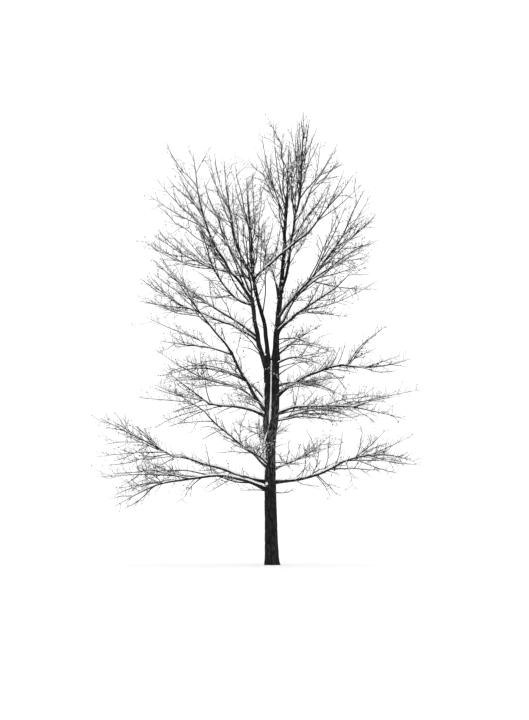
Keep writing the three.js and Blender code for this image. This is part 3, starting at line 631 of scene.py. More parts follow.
def as_shoots(lines, places):
    """Lines of any number of points as shoots of the same number of places."""
    spots = [[place_on(line, share) for share in np.linspace(0, 1, places)] for line in lines]
    points = np.array([[spot[0] for spot in row] for row in spots])
    return Shoots(points, np.array([[spot[2] for spot in row] for row in spots]))


def joined(groups):
    return Shoots(np.concatenate([g.points for g in groups]), np.concatenate([g.radii for g in groups]))


def spots_on(carriers, spacing, first, last, rng):
    """Places spread along many carriers: order, share, point, direction, radius and the carrier's length."""
    steps = np.diff(carriers.points, axis=1)
    lengths = np.linalg.norm(steps, axis=2).sum(axis=1)
    counts = np.floor(lengths / spacing + rng.random(len(lengths))).astype(int)
    owner = np.repeat(np.arange(len(counts)), counts)
    order = np.arange(owner.size) - np.repeat(np.cumsum(counts) - counts, counts)
    share = lerp(first, last, (order + rng.random(owner.size)) / counts[owner])
    place = share * steps.shape[1]
    i = np.minimum(place.astype(int), steps.shape[1] - 1)
    part = (place - i)[:, None]
    foot = carriers.points[owner, i] + steps[owner, i] * part
    width = lerp(carriers.radii[owner, i], carriers.radii[owner, i + 1], part[:, 0])
    return order, share, foot, unit(steps[owner, i]), width, lengths[owner]


def side_shoots(carriers, rule, rng, reach=1.0, level=0.0, clean=0.0, grown=1.0):
    """Shoots that leave their carriers by a rule, reach times as long.

    Those with a level leave only stretches at least so level, and turn up. clean is the share of each carrier
    that stays bare, and grown the share of all the shoots that grow.
    """
    first = max(rule.first, clean)
    order, share, foot, along, width, whole = spots_on(carriers, rule.spacing, first, rule.last, rng)
    anyhow = rng.random(share.size) * 2 * math.pi
    level_side = np.cross(along, UP)
    free_side = np.stack([np.cos(anyhow), np.sin(anyhow), np.zeros(share.size)], axis=1)
    side = unit(np.where(np.abs(along[:, 2:]) > STRAIGHT_UP, free_side, level_side))
    over = np.cross(side, along)
    turn = (math.pi * (order % 2) + (2 * rng.random(share.size) - 1) * rule.turn)[:, None]
    if level:
        turn = math.pi / 2 + (2 * rng.random(share.size)[:, None] - 1) * rule.turn
    out = side * np.cos(turn) + over * np.sin(turn)
    fork = np.radians(rng.uniform(*rule.fork, share.size))[:, None]
    lift = rng.uniform(*rule.lift, share.size)[:, None]
    ahead = unit(along * np.cos(fork) + out * np.sin(fork) + UP * lift)
    length = np.minimum(rule.longest, rule.share * whole) * (1 - rule.shrink * share)
    length = length * reach * rng.uniform(*rule.vary, share.size)
    points = [foot]
    for _ in range(rule.places - 1):
        points.append(points[-1] + ahead * (length / (rule.places - 1))[:, None])
        ahead = unit(ahead + UP * lift / (rule.places - 1) + rng.normal(0, WANDER, ahead.shape))
    points = np.stack(points, axis=1)
    slender = lerp(SLENDER, 1, length / rule.longest)
    thick = np.minimum(rule.radius * slender, LIGHTER * width)
    radii = thick[:, None] * np.linspace(1, rule.tip / rule.radius, rule.places)
    keep = inside(points) & (np.linalg.norm(along[:, :2], axis=1) >= level) & (rng.random(share.size) < grown)
    keep &= clear_of_trunk(foot)
    return Shoots(points[keep], radii[keep])


def clear_of_trunk(feet):
    """Which feet stand off the trunk: the old wood beside it carries no twigs."""
    middle = LIMBS["trunk"].points
    off = [feet[:, i] - np.interp(feet[:, 2], middle[:, 2], middle[:, i]) for i in (0, 1)]
    return (np.hypot(*off) > CLEAR) | (feet[:, 2] > middle[-1, 2])


def inside(points):
    """Which shoots stay in the room that the solids leave them, with all their points."""
    low, high = np.array(CAD_BOX[0]), np.array(CAD_BOX[1])
    room = ROOM * (high - low)
    low[2] = LOWEST
    fits = (points >= low - [room[0], room[1], 0]) & (points <= high + room)
    return fits.all(axis=(1, 2))


# ---- meshes ----

WELD = 1e-5
MOST_TRIANGLES = 180000  # in one piece
FURROWS = 0.3  # how much of the bark is furrow, from 0 to 1
CROSSINGS = {"depth": 0.35, "scale": 2.3}  # lesser furrows that cross the long ones
COLLAR_REACH = 2.2  # length of a collar, in radii of its carrier
SWELLS = {"height": 0.045, "scale": 0.35}  # slow swells of a limb's skin, in its radii
SLIMMEST = 0.05  # under this radius the swells get no closer
DOME = {"tilts": [25, 50, 75], "height": 0.8}
STEEP = 0.1  # a shoot less level than this has no side of its own
SLIGHTEST = 0.017  # radius of a branch before it tapers off
TIP_RADIUS = 0.006  # radius of its end


def stout(line):
    """A branch that stays thick enough to show almost to its end, and then tapers to a twig."""
    radii = np.maximum(line.radii, SLIGHTEST)
    radii[-1] = TIP_RADIUS
    return line._replace(radii=radii)


def round_angles(sides):
    return np.linspace(0, 2 * math.pi, sides, endpoint=False)


def loft(bm, rings):
    """A closed skin through rings of points, drawn to the middle of the ring at each end."""
    ends = rings[[0, -1]].mean(axis=1)
    table = np.concatenate([rings[:1] * 0 + ends[0], rings, rings[:1] * 0 + ends[1]])
    rows, sides = table.shape[:2]
    made = bmesh.ops.create_grid(bm, x_segments=sides, y_segments=rows - 1, size=0.5)["verts"]
    for vert in made:
        i = round((vert.co.y + 0.5) * (rows - 1))
        j = round((vert.co.x + 0.5) * sides) % sides
        vert.co = table[i, j]
    faces = {face for vert in made for face in vert.link_faces}
    for face in faces:
        face.smooth = True
    bmesh.ops.remove_doubles(bm, verts=made, dist=WELD)


def add_piece(name, bm, materials, nodes=()):
    """Finishes a bmesh as a piece of the tree, which may replace solids and take a slot's finish."""
    bmesh.ops.recalc_face_normals(bm, faces=bm.faces)
    mesh = bpy.data.meshes.new(name)
    bm.to_mesh(mesh)
    bm.free()
    place_piece(name, mesh, materials, nodes)


def add_lofts(name, skins, materials, nodes=()):
    """A piece of the tree that has a closed skin through each set of rings."""
    bm = bmesh.new()
    for rings in skins:
        loft(bm, rings)
    add_piece(name, bm, materials, nodes)


def place_piece(name, mesh, materials, nodes):
    for material in materials:
        mesh.materials.append(material)
    piece = bpy.data.objects.new(name, mesh)
    bpy.context.scene.collection.objects.link(piece)
    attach(piece, "root")
    if nodes:
        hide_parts(*nodes)


def across_and_over(points):
    """Two directions square to a line at each of its points, which don't twist along it."""
    along = unit(np.gradient(points, axis=0))
    over = np.empty_like(along)
    last = np.array([0.0, 1.0, 0.0])
    for i, direction in enumerate(along):
        last = unit(last - direction * last.dot(direction))
        over[i] = last
    return np.cross(along, over), over


def relief(place):
    """How far bark lies under its ridges at a place on it, from 0 to 1: furrows that join in a long mesh."""
    wave = abs(noise.noise(place) + CROSSINGS["depth"] * noise.noise(place * CROSSINGS["scale"]))
    return 1 - min(1.0, wave / FURROWS)


def bark_rings(line, sides, step, bark, collar=0.0, flare=None, seed=0):
    """Rings of points round a limb with its bark's relief; collar is its carrier's radius."""
    fine = smooth(line, step)
    points, radii = fine.points, fine.radii
    if flare:
        across = np.tile([1.0, 0.0, 0.0], (len(points), 1))
        over = np.tile([0.0, 1.0, 0.0], (len(points), 1))
    else:
        across, over = across_and_over(points)
    angles = round_angles(sides)
    along = np.concatenate([[0], np.cumsum(np.linalg.norm(np.diff(points, axis=0), axis=1))])
    rings = np.empty((len(points), sides, 3))
    start = Vector((seed * 7.3, seed * 3.1, 0))  # every limb has a stretch of the noise to itself
    for i, (middle, radius) in enumerate(zip(points, radii)):
        swell = radius
        if collar:
            swell = radius * (1 + bark.collar * math.exp(-((along[i] / (COLLAR_REACH * collar)) ** 2)))
        for j, angle in enumerate(angles):
            reach = swell
            if flare:
                foot = math.exp(-along[i] / (flare["height"] * MM))
                lobe = math.cos(flare["lobes"] * angle + flare["turn"])
                reach += (flare["swell"] * MM + flare["depth"] * radius * lobe) * foot
            skin = Vector((radius * math.cos(angle), radius * math.sin(angle), along[i] * bark.stretch))
            depth = bark.furrow_depth * min(1.0, radius / bark.full_radius)
            reach -= depth * relief(start + skin / bark.furrow_gap)
            slow = skin * (SWELLS["scale"] / max(radius, SLIMMEST))
            reach += SWELLS["height"] * radius * noise.noise(start + slow)
            rings[i, j] = middle + reach * (math.cos(angle) * across[i] + math.sin(angle) * over[i])
    return rings


def domed(rings):
    """The same rings with a rounded end."""
    middle = rings[-1].mean(axis=0)
    radius = np.linalg.norm(rings[-1] - middle, axis=1).mean()
    ahead = unit(middle - rings[-2].mean(axis=0))
    caps = []
    for tilt in np.radians(DOME["tilts"]):
        rise = ahead * radius * math.sin(tilt) * DOME["height"]
        caps.append(middle + (rings[-1] - middle) * math.cos(tilt) + rise)
    return np.concatenate([rings, np.array(caps)])


def sides_for(radius, spacing):
    """How many sides a limb needs for its points to stand so far apart round it."""
    return max(8, nearest_whole(2 * math.pi * radius / spacing))


def plain_rings(line, sides, step):
    """Rings of a branch too slight to have furrows."""
    fine = smooth(line, step)
    across, over = across_and_over(fine.points)
    angles = round_angles(sides)
    spokes = np.cos(angles)[:, None] * across[:, None] + np.sin(angles)[:, None] * over[:, None]
    return fine.points[:, None] + spokes * fine.radii[:, None, None]


def shoot_mesh(name, shoots, sides, materials, tones):
    """One piece of many shoots, each a closed tube that ends in a point; tones has each one's material."""
    points, radii = shoots
    count, places = radii.shape
    along = unit(np.gradient(points, axis=1))
    first = np.cross(along[:, 0], UP)
    steep = np.linalg.norm(first, axis=1) < STEEP
    first[steep] = np.cross(along[steep, 0], [1.0, 0.0, 0.0])
    rings = np.empty((count, places - 1, sides, 3))
    over = first
    for i in range(places - 1):
        over = unit(over - along[:, i] * np.sum(over * along[:, i], axis=1, keepdims=True))
        side = np.cross(along[:, i], over)
        for j, angle in enumerate(round_angles(sides)):
            spoke = math.cos(angle) * over + math.sin(angle) * side
            rings[:, i, j] = points[:, i] + spoke * radii[:, i, None]
    verts = np.concatenate([rings.reshape(count, -1, 3), points[:, -1:]], axis=1)
    facets = []  # of one shoot, by the numbers of its points
    for i in range(places - 2):
        for j in range(sides):
            a, b = i * sides + j, i * sides + (j + 1) % sides
            facets += [(a, b, b + sides), (a, b + sides, a + sides)]
    top = (places - 2) * sides
    facets += [(top + j, top + (j + 1) % sides, top + sides) for j in range(sides)]
    facets += [(0, j + 1, j) for j in range(1, sides - 1)]
    faces = (np.array(facets)[None] + np.arange(count)[:, None, None] * verts.shape[1]).reshape(-1, 3)
    verts = verts.reshape(-1, 3)
    mesh = bpy.data.meshes.new(name)
    mesh.vertices.add(len(verts))
    mesh.vertices.foreach_set("co", verts.astype(np.float32).ravel())
    mesh.loops.add(faces.size)
    mesh.loops.foreach_set("vertex_index", faces.astype(np.int32).ravel())
    mesh.polygons.add(len(faces))
    mesh.polygons.foreach_set("loop_start", np.arange(0, faces.size, 3, dtype=np.int32))
    mesh.polygons.foreach_set("material_index", np.repeat(tones, len(facets)).astype(np.int32))
    mesh.polygons.foreach_set("use_smooth", np.ones(len(faces), dtype=bool))
    mesh.update(calc_edges=True)
    place_piece(name, mesh, materials, ())


def shoot_pieces(name, groups, sides, materials):
    """Pieces of the shoots of many masses, each piece of a size that keeps its whole detail."""
    per_shoot = 2 * sides * (groups[0].radii.shape[1] - 2) + 2 * sides - 2
    most = MOST_TRIANGLES // per_shoot
    batch, tones, total, part = [], [], 0, 1
    for index, group in enumerate(groups + [None]):
        if batch and (group is None or total + len(group.points) > most):
            shoot_mesh(f"{name}_{part}", joined(batch), sides, materials, np.concatenate(tones))
            batch, tones, total, part = [], [], 0, part + 1
        if group is not None and len(group.points):
            batch.append(group)
            tones.append(np.full(len(group.points), index % len(materials)))
            total += len(group.points)


# ---- snow ----

# a limb's snow in section, across it and up it, as shares of its radius and of the snow's depth
SNOW_SECTION = [(0.6, 0.3, 0.0), (0.85, 0.55, 0.2), (0.6, 0.8, 0.75), (0.0, 1.0, 1.0)]
SNOW_SECTION += [(-across, radius, depth) for across, radius, depth in SNOW_SECTION[-2::-1]]
SLIGHT_SECTION = [SNOW_SECTION[i] for i in (0, 2, 4, 6)]  # for a limb too slight for more faces
WINDWARD = math.radians(170)  # bearing of the side on which wet snow was blown against the stems
EASING = 0.35  # a limb this much more level than the steepest that holds snow holds all of it
EDGE = 0.2  # how gently a patch of snow begins, from 0, at once
LADEN = 0.06  # radius from which a limb holds the whole depth
NARROW, WIDE = 0.5, 0.96  # half the width of snow on a limb, where it begins and in full, in the limb's radii
SUNK = 0.6  # how far from the middle of a limb its rings lie where there is no snow, in its radii
BEDDED = 0.98  # and under the snow
ROUNDING = 4  # how fast the crust on a stem thins out at its ends
BITE = 0.3  # how gently the crust rises from its edge, from 0, at once
BURIED = 0.25  # how deep its rings sink off the windward side
PLASTERED = {"trunk": (3.7, 6.5), "left_stem": (6.5, 9.2)}  # heights between which each has its crust
SEAMED = (6.12, 10.1)  # and between which the crease of the two stems is packed
CRUST = {"step": 0.05, "sides": 40}
# half the seam's width, past the gap between the stems, is foot at its bottom and half from fade above that
SEAM = {"step": 0.07, "sides": 10, "deep": 0.07, "foot": 0.06, "half": 0.012, "fade": 0.5, "uneven": 0.014}
# a fork this wide or wider holds a lump of snow, sized by shares of its limb's radius and the snow's depth
FORK = {"least": math.radians(18), "limb": 0.5, "snow": 0.6, "bumps": 0.3, "flat": 0.75}
CLUMP_HALF = (0.02, 0.1)  # half the length of a clump on a twig
CLUMP_GROWTH = (1.0, 1.3)  # its radius beside the twig's
CLUMP_SNOW = (0.002, 0.009)  # and the snow that adds to it
CLUMP_LIFT = 0.35  # how far it sits above the middle of the twig, in its radii
CLUMP_SHAPE = [0.45, 1.0, 0.4]  # radii at its ends and its middle, beside its largest
BARED = 0.011  # a shoot of this radius or less holds all of its clumps, and a thicker one fewer
PATCHES, TATTERS = 1.4, 5.5  # scales of the patches of snow on a limb, and of their ragged edges
LEAST_DEPTH = 0.35  # of the snow on the slightest limb, as a share of the whole depth
BRIM = 0.15  # how far deep snow stands out past its limb's sides, as a share of its depth
HELD_LESS = 0.1  # how much less of their length the lesser limbs have covered
RAGS = {"round": 3, "up": 1.6, "apart": 5.1, "finer": 3.7}  # scales of the ragged edge of the crust
OUT_OF_REACH = 1.3  # past its ends no wind lays the crust


def clipped(value):
    return min(1.0, max(0.0, value))


def snow_rings(line, step, section, snow, seed, cover):
    """Rings round the snow along the upper side of a limb. Where there is none they sink into the wood."""
    fine = smooth(line, step)
    points, radii = fine.points, fine.radii
    along = unit(np.gradient(points, axis=0))
    crest = UP - along * along[:, 2:]
    level = np.linalg.norm(crest, axis=1)
    crest = unit(crest)
    side = np.cross(along, crest)
    rings = np.empty((len(points), len(section), 3))
    for i, (middle, radius) in enumerate(zip(points, radii)):
        place = Vector(middle) + Vector((seed * 1.7, 0, 0))
        lie = clipped((level[i] - snow.steepest) / EASING)
        patch = 0.5 + 0.5 * noise.noise(place * PATCHES) + 0.35 * noise.noise(place * TATTERS)
        drift = clipped((patch - 1 + cover) / EDGE) * lie
        depth = snow.depth * (LEAST_DEPTH + min(1.0, radius / LADEN)) * (0.6 + 0.6 * patch) * drift
        width = radius * lerp(NARROW, WIDE, min(1.0, drift * 3)) + BRIM * depth
        for j, (across, up, rise) in enumerate(section):
            height = radius * up * (BEDDED if drift else SUNK) + depth * rise
            rings[i, j] = middle + side[i] * across * width + crest[i] * height
    return rings


def plaster_rings(line, snow, seed, bottom, top):
    """Rings round the ragged crust blown against a stem. Off its windward side they sink into the wood."""
    heights = np.arange(bottom, top, CRUST["step"])
    angles = round_angles(CRUST["sides"])
    rings = np.empty((len(heights), len(angles), 3))
    for i, height in enumerate(heights):
        middle = [np.interp(height, line.points[:, 2], line.points[:, k]) for k in (0, 1)]
        radius = np.interp(height, line.points[:, 2], line.radii)
        ends = min(1.0, ROUNDING * min(height - bottom, heights[-1] - height))
        for j, angle in enumerate(angles):
            out = Vector((math.cos(angle), math.sin(angle), 0))
            place = out * radius * RAGS["round"] + Vector((seed * RAGS["apart"], 0, height * RAGS["up"]))
            ragged = 0.5 * noise.noise(place) + 0.35 * noise.noise(place * RAGS["finer"])
            crust = math.cos(angle - WINDWARD) + ragged - lerp(OUT_OF_REACH, 1 - snow.plaster, ends)
            thick = snow.crust * min(1.0, crust / BITE) if crust > 0 else BURIED * crust * radius
            rings[i, j] = [*(np.array(middle) + np.array(out[:2]) * (radius + thick)), height]
    return rings


def seam_rings(right, left, bottom, top):
    """Rings round the snow in the crease between two stems, on the side that faces the front."""
    rings = []
    angles = round_angles(SEAM["sides"])
    for height in np.arange(bottom, top, SEAM["step"]):
        (right_x, right_radius), (left_x, left_radius) = [
            [np.interp(height, line.points[:, 2], values) for values in (line.points[:, 0], line.radii)]
            for line in (right, left)
        ]
        apart = right_x - left_x
        gap = max(0.0, apart - right_radius - left_radius)
        # the two round stems cut each other this far from the left one's middle
        share = (apart**2 + left_radius**2 - right_radius**2) / (2 * apart)
        share = min(left_radius, max(-left_radius, share)) + gap / 2
        crease = -math.sqrt(max(0.0, left_radius**2 - share**2))
        place = Vector((0.5, 0.5, height * 4))
        narrowed = min(1.0, (height - bottom) / SEAM["fade"])
        half = gap / 2 + lerp(SEAM["foot"], SEAM["half"], narrowed)
        half += SEAM["uneven"] * noise.noise(place)
        deep = SEAM["deep"] + 0.025 * noise.noise(place * 2)
        middle = left_x + share
        rings.append([[middle + half * math.cos(a), crease + deep * math.sin(a), height] for a in angles])
    return np.array(rings)


def add_fork_snow(bm, name, snow):
    """A lump of snow in the crotch between a limb and its carrier."""
    carrier, share = CARRIERS[name]
    start, stem, reach = place_on(LIMBS[carrier], share)
    _, ahead, radius = place_on(LIMBS[name], 0.03)
    fork = math.acos(min(1.0, stem.dot(ahead)))
    if fork < FORK["least"] or ahead[2] < 0:
        return
    out = unit(ahead - stem * stem.dot(ahead))
    crotch = start + out * reach + stem * (reach * math.cos(fork) + radius) / math.sin(fork)
    size = FORK["limb"] * radius + FORK["snow"] * snow.depth
    made = bmesh.ops.create_icosphere(bm, subdivisions=2, radius=1.0)["verts"]
    for vert in made:
        bulge = size * (1 + FORK["bumps"] * noise.noise(vert.co * 1.3 + Vector(crotch)))
        vert.co = Vector(crotch + np.array(vert.co) * bulge * [1.0, 1.0, FORK["flat"]])
    for face in {face for vert in made for face in vert.link_faces}:
        face.smooth = True


def clumps_on(shoots, snow, rng):
    """Short clumps of wet snow frozen round many shoots, heaviest on their upper side, each a spindle."""
    _, _, foot, along, width, _ = spots_on(shoots, snow.clump_gap, first=0.04, last=0.96, rng=rng)
    keep = np.linalg.norm(along[:, :2], axis=1) > snow.steepest_twig
    keep &= rng.random(len(width)) < BARED / width
    foot, along, width = foot[keep], along[keep], width[keep, None]
    half = rng.uniform(*CLUMP_HALF, width.shape)
    fat = width * rng.uniform(*CLUMP_GROWTH, width.shape) + rng.uniform(*CLUMP_SNOW, width.shape)
    middle = foot + UP * CLUMP_LIFT * fat
    points = np.stack([middle - along * half, middle, middle + along * half], axis=1)
    return Shoots(points, fat * CLUMP_SHAPE)


# ---- seed heads ----

HEAD_SIZES = (0.018, 0.03)  # radii of the least and the largest
RARER = 3  # how much rarer they are on short twigs than on long ones
# a head in section, from its top down: how far along the middle, and the radius there, in its radii
HEAD_DROPS = [0.4, -0.3, -1.1, -1.6]
HEAD_RADII = [0.6, 1.0, 0.7, 0.0]


def seed_heads_on(shoots, share, rng):
    """Round heads of seeds at the tips of a share of many shoots, each a little taller than wide."""
    tips = shoots.points[rng.random(len(shoots.points)) < share, -1]
    size = rng.uniform(*HEAD_SIZES, (len(tips), 1))
    points = np.stack([tips + UP * drop * size for drop in HEAD_DROPS], axis=1)
    return Shoots(points, size * HEAD_RADII)


# ---- finishes ----


def linear(code):
    """A colour given as sRGB hex, as linear light."""
    parts = [int(code[i : i + 2], 16) / 255 for i in (1, 3, 5)]
    return tuple(c / 12.92 if c <= 0.04045 else ((c + 0.055) / 1.055) ** 2.4 for c in parts)


def pattern(size_mm):
    """The scale of a pattern whose repeats are so many millimetres apart."""
    return 1000 / size_mm


def add_node(tree, kind, settings, inputs):
    """Adds a node with its settings; an input is a value, or another node and the name of its output."""
    made = tree.nodes.new(kind)
    for name, value in settings.items():
        setattr(made, name, value)
    for name, value in inputs.items():
        if isinstance(value, tuple) and isinstance(value[0], bpy.types.Node):
            tree.links.new(value[0].outputs[value[1]], made.inputs[name])
        else:
            made.inputs[name].default_value = value
    return made


def start_material(name, values):
    """A new material, its nodes and its shader, whose own sockets get the values."""
    made = bpy.data.materials.new(name)
    made.use_nodes = True
    shader = made.node_tree.nodes["Principled BSDF"]
    for socket, value in values.items():
        shader.inputs[socket].default_value = value
    return made, made.node_tree, shader


def surface_grain(tree, shader, size, strength, depth, where=None):
    """Roughens a surface with grains of a size in millimetres, up to a depth in metres."""
    if where is None:
        where = add_node(tree, "ShaderNodeTexCoord", {}, {}), "Object"
    noises = {"Vector": where, "Scale": pattern(size), "Detail": 4.0, "Roughness": 0.65}
    grains = add_node(tree, "ShaderNodeTexNoise", {}, noises)
    heights = {"Height": (grains, "Fac"), "Strength": strength, "Distance": depth}
    bump = add_node(tree, "ShaderNodeBump", {}, heights)
    tree.links.new(bump.outputs["Normal"], shader.inputs["Normal"])


def patches(tree, where, size, low, high):
    """Patches of a size in millimetres: 0 where their noise is under low, 1 where it is over high."""
    noises = {"Vector": where, "Scale": pattern(size), "Detail": 5.0, "Roughness": 0.6}
    made = add_node(tree, "ShaderNodeTexNoise", {}, noises)
    limits = {"Value": (made, "Fac"), "From Min": low, "From Max": high}
    return add_node(tree, "ShaderNodeMapRange", {}, limits)


COLOURS = {"data_type": "RGBA"}
MIX_UNDER, MIX_OVER, MIX_COLOUR = 6, 7, 2  # a Mix node's sockets for colours: it has others of their names


@cache
def furrowed_bark():
    """Old hardwood bark: long dry ridges, almost black in their furrows, with dustings of blown snow."""
    look = bpy.context.scene.winter_tree.bark
    values = {"Roughness": 0.92, "Specular IOR Level": 0.1}
    made, tree, shader = start_material("Furrowed hardwood bark", values)
    spot = add_node(tree, "ShaderNodeTexCoord", {}, {})
    drawn = add_node(tree, "ShaderNodeMapping", {}, {"Vector": (spot, "Object"), "Scale": (1.0, 1.0, 0.3)})
    plates = patches(tree, (drawn, "Vector"), size=70, low=0.35, high=0.68)
    flecks = patches(tree, (drawn, "Vector"), size=65, low=0.46, high=0.68)
    # The dusting lies thickest about the fork, where the wind turns, and thins out above and below it.
    place = add_node(tree, "ShaderNodeSeparateXYZ", {}, {"Vector": (spot, "Object")})
    height = {0: (place, "Z"), 1: look.dusted_height}
    above = add_node(tree, "ShaderNodeMath", {"operation": "SUBTRACT"}, height)
    away = add_node(tree, "ShaderNodeMath", {"operation": "ABSOLUTE"}, {0: (above, "Value")})
    fading = {"Value": (away, "Value"), "From Min": 0.3, "From Max": 2.6, "To Min": 0.9, "To Max": 0.16}
    band = add_node(tree, "ShaderNodeMapRange", {"interpolation_type": "SMOOTHSTEP"}, fading)
    both = {0: (flecks, "Result"), 1: (band, "Result")}
    dusted = add_node(tree, "ShaderNodeMath", {"operation": "MULTIPLY"}, both)
    furrow, ridge, dust = [(*c, 1) for c in (look.furrow_colour, look.ridge_colour, look.dusted_colour)]
    ridges = {"Factor": (plates, "Result"), MIX_UNDER: furrow, MIX_OVER: ridge}
    bark = add_node(tree, "ShaderNodeMix", COLOURS, ridges)
    dusting = {"Factor": (dusted, "Value"), MIX_UNDER: (bark, MIX_COLOUR), MIX_OVER: dust}
    shown = add_node(tree, "ShaderNodeMix", COLOURS, dusting)
    tree.links.new(shown.outputs[MIX_COLOUR], shader.inputs["Base Color"])
    # Cracks and scales a few millimetres across, which break up the light on each ridge.
    surface_grain(tree, shader, size=9, strength=0.7, depth=0.006, where=(drawn, "Vector"))
    return made


@cache
def branch_bark():
    """Bark of branches: tight and smooth with fine cracks round it, a little greyer than the trunk's."""
    colour = (*bpy.context.scene.winter_tree.bark.branch_colour, 1)
    values = {"Base Color": colour, "Roughness": 0.85, "Specular IOR Level": 0.3}
    made, tree, shader = start_material("Smooth branch bark", values)
    surface_grain(tree, shader, size=14, strength=0.5, depth=0.003)
    return made


@cache
def twig_barks():
    """Young bark in the few tones that sprays of one tree show, thin and faintly waxy."""
    look = bpy.context.scene.winter_tree.twigs
    made = []
    for name, colour in (("Ash grey", look.grey), ("Umber", look.umber), ("Slate", look.slate)):
        values = {"Base Color": (*colour, 1), "Roughness": 0.7, "Specular IOR Level": 0.35}
        tone, tree, shader = start_material(f"{name} young bark", values)
        surface_grain(tree, shader, size=12, strength=0.4, depth=0.002)
        made.append(tone)
    return made


@cache
def dry_seeds():
    """Round heads of dry seeds: dull dark brown and rough all over."""
    colour = (*bpy.context.scene.winter_tree.twigs.seeds, 1)
    made, tree, shader = start_material("Dry seed heads", {"Base Color": colour, "Roughness": 0.9})
    surface_grain(tree, shader, size=6, strength=0.6, depth=0.003)
    return made


@cache
def fresh_snow():
    """Fresh wet snow: white all through, matt, with the soft grain of clotted flakes."""
    colour = (*bpy.context.scene.winter_tree.snow.colour, 1)
    values = {"Base Color": colour, "Roughness": 0.8, "Specular IOR Level": 0.2}
    made, tree, shader = start_material("Fresh wet snow", values)
    surface_grain(tree, shader, size=18, strength=0.35, depth=0.008)
    return made


# ---- settings ----


def colour_setting(name, description, code):
    return FloatVectorProperty(
        name=name, description=description, subtype="COLOR", size=3, min=0, max=1, default=linear(code)
    )


def length_setting(name, description, default):
    return FloatProperty(name=name, description=description, default=default, min=0, unit="LENGTH")


def share_setting(name, description, default):
    return FloatProperty(name=name, description=description, default=default, min=0)


class BarkSettings(bpy.types.PropertyGroup):
    furrow_colour: colour_setting("Furrow colour", "Colour at the bottom of the furrows", "#0b0a0a")
    ridge_colour: colour_setting("Ridge colour", "Colour of the bark's ridges", "#211f1e")
    dusted_colour: colour_setting("Dusted colour", "Colour of bark under a dusting of blown snow", "#77797b")
    dusted_height: length_setting("Dusted height", "Height at which the dusting is thickest", 6.2)
    branch_colour: colour_setting("Branch colour", "Colour of the bark on branches", "#1f1d1c")
    furrow_depth: length_setting("Furrow depth", "Depth of the trunk's furrows", 0.02)
    furrow_gap: length_setting("Furrow gap", "Distance between furrows", 0.13)
    stretch: share_setting("Furrow stretch", "How much of its length a furrow keeps across", 0.22)
    full_radius: length_setting("Full furrows from", "Radius from which a limb has the trunk's furrows", 0.3)
    collar: share_setting("Collar", "Swelling where a limb leaves its carrier", 0.45)


class TwigSettings(bpy.types.PropertyGroup):
    grey: colour_setting("Grey", "Young bark, ash grey", "#262424")
    umber: colour_setting("Umber", "Young bark, umber", "#252120")
    slate: colour_setting("Slate", "Young bark, slate", "#202021")
    seeds: colour_setting("Seeds", "Dry seed heads", "#231e1b")
    headed: share_setting("Headed", "Share of the longer twigs that end in a seed head", 0.4)
    seed: IntProperty(name="Seed", description="Chance that places the finer twigs", default=7, min=0)


class SnowSettings(bpy.types.PropertyGroup):
    colour: colour_setting("Colour", "Colour of the snow", "#f7f8f9")
    depth: length_setting("Depth", "Depth of snow on a level limb", 0.05)
    steepest: share_setting("Steepest", "Level share of a limb's direction that still holds snow", 0.38)
    cover: share_setting("Cover", "Share of a limb's length that snow covers", 0.85)
    plaster: share_setting("Plaster", "How far blown snow reaches round the stems from windward", 0.2)
    crust: length_setting("Crust", "Thickness of the snow blown against the stems", 0.05)
    clump_gap: length_setting("Clump gap", "Distance between clumps of snow on a twig", 0.26)
    steepest_twig: share_setting("Steepest twig", "The same share of a twig that still holds clumps", 0.12)


class StageSettings(bpy.types.PropertyGroup):
    distance: length_setting("Distance", "From the camera to the trunk", 85.0)
    eye: length_setting("Eye height", "Height of the camera", 2.0)
    aside: FloatProperty(
        name="Aside", description="How far the camera stands to one side", default=-0.355, unit="LENGTH"
    )
    tilt: FloatProperty(
        name="Tilt", description="How far the camera looks up", default=math.radians(5.45), subtype="ANGLE"
    )
    lens: FloatProperty(name="Lens", description="Focal length in millimetres", default=85.98)
    floor: length_setting("Floor", "Radius of the floor", 400.0)
    sky: share_setting("Sky", "Brightness of the studio's white surround", 1.12)


class TreeSettings(bpy.types.PropertyGroup):
    bark: PointerProperty(type=BarkSettings)
    twigs: PointerProperty(type=TwigSettings)
    snow: PointerProperty(type=SnowSettings)
    stage: PointerProperty(type=StageSettings)


# ---- operators ----

LEADER_NAMES = [row[0] for row in LEADERS]
BOUGH_NAMES = [row[0] for row in BOUGHS]
MASS_NAMES = [row[0] for row in MASSES]
GROWN = []  # the twigs that carry seed heads and clumps of snow, by kind, once they have grown
CLIP_END = 1000  # how far the camera sees: past the floor's edge


def add_limb_bark(piece, names, spacing, step):
    """One piece of the furrowed bark of several limbs, with points so far apart round them and along them."""
    bark = bpy.context.scene.winter_tree.bark
    skins = []
    for name in names:
        carrier, share = CARRIERS[name]
        collar = place_on(LIMBS[carrier], share)[2]
        sides = sides_for(LIMBS[name].radii[0], spacing)
        skins.append(domed(bark_rings(LIMBS[name], sides, step, bark, collar, seed=len(name) + sides)))
    add_lofts(piece, skins, [furrowed_bark()], names)


class WINTER_TREE_OT_trunk(bpy.types.Operator):
    """Adds the trunk with its root flare, and the left-hand stem beside it"""

    bl_idname = "winter_tree.trunk"
    bl_label = "Trunk and Left Stem"

    def execute(self, context):
        bark = context.scene.winter_tree.bark
        for name, flare in (("trunk", FLARE), ("left_stem", None)):
            sides = sides_for(LIMBS[name].radii.max(), spacing=0.021)
            rings = bark_rings(LIMBS[name], sides, 0.045, bark, flare=flare)
            if flare:
                rings[0, :, 2] = 0
            add_lofts(name + "_bark", [domed(rings)], [furrowed_bark()], [name])
        return {"FINISHED"}


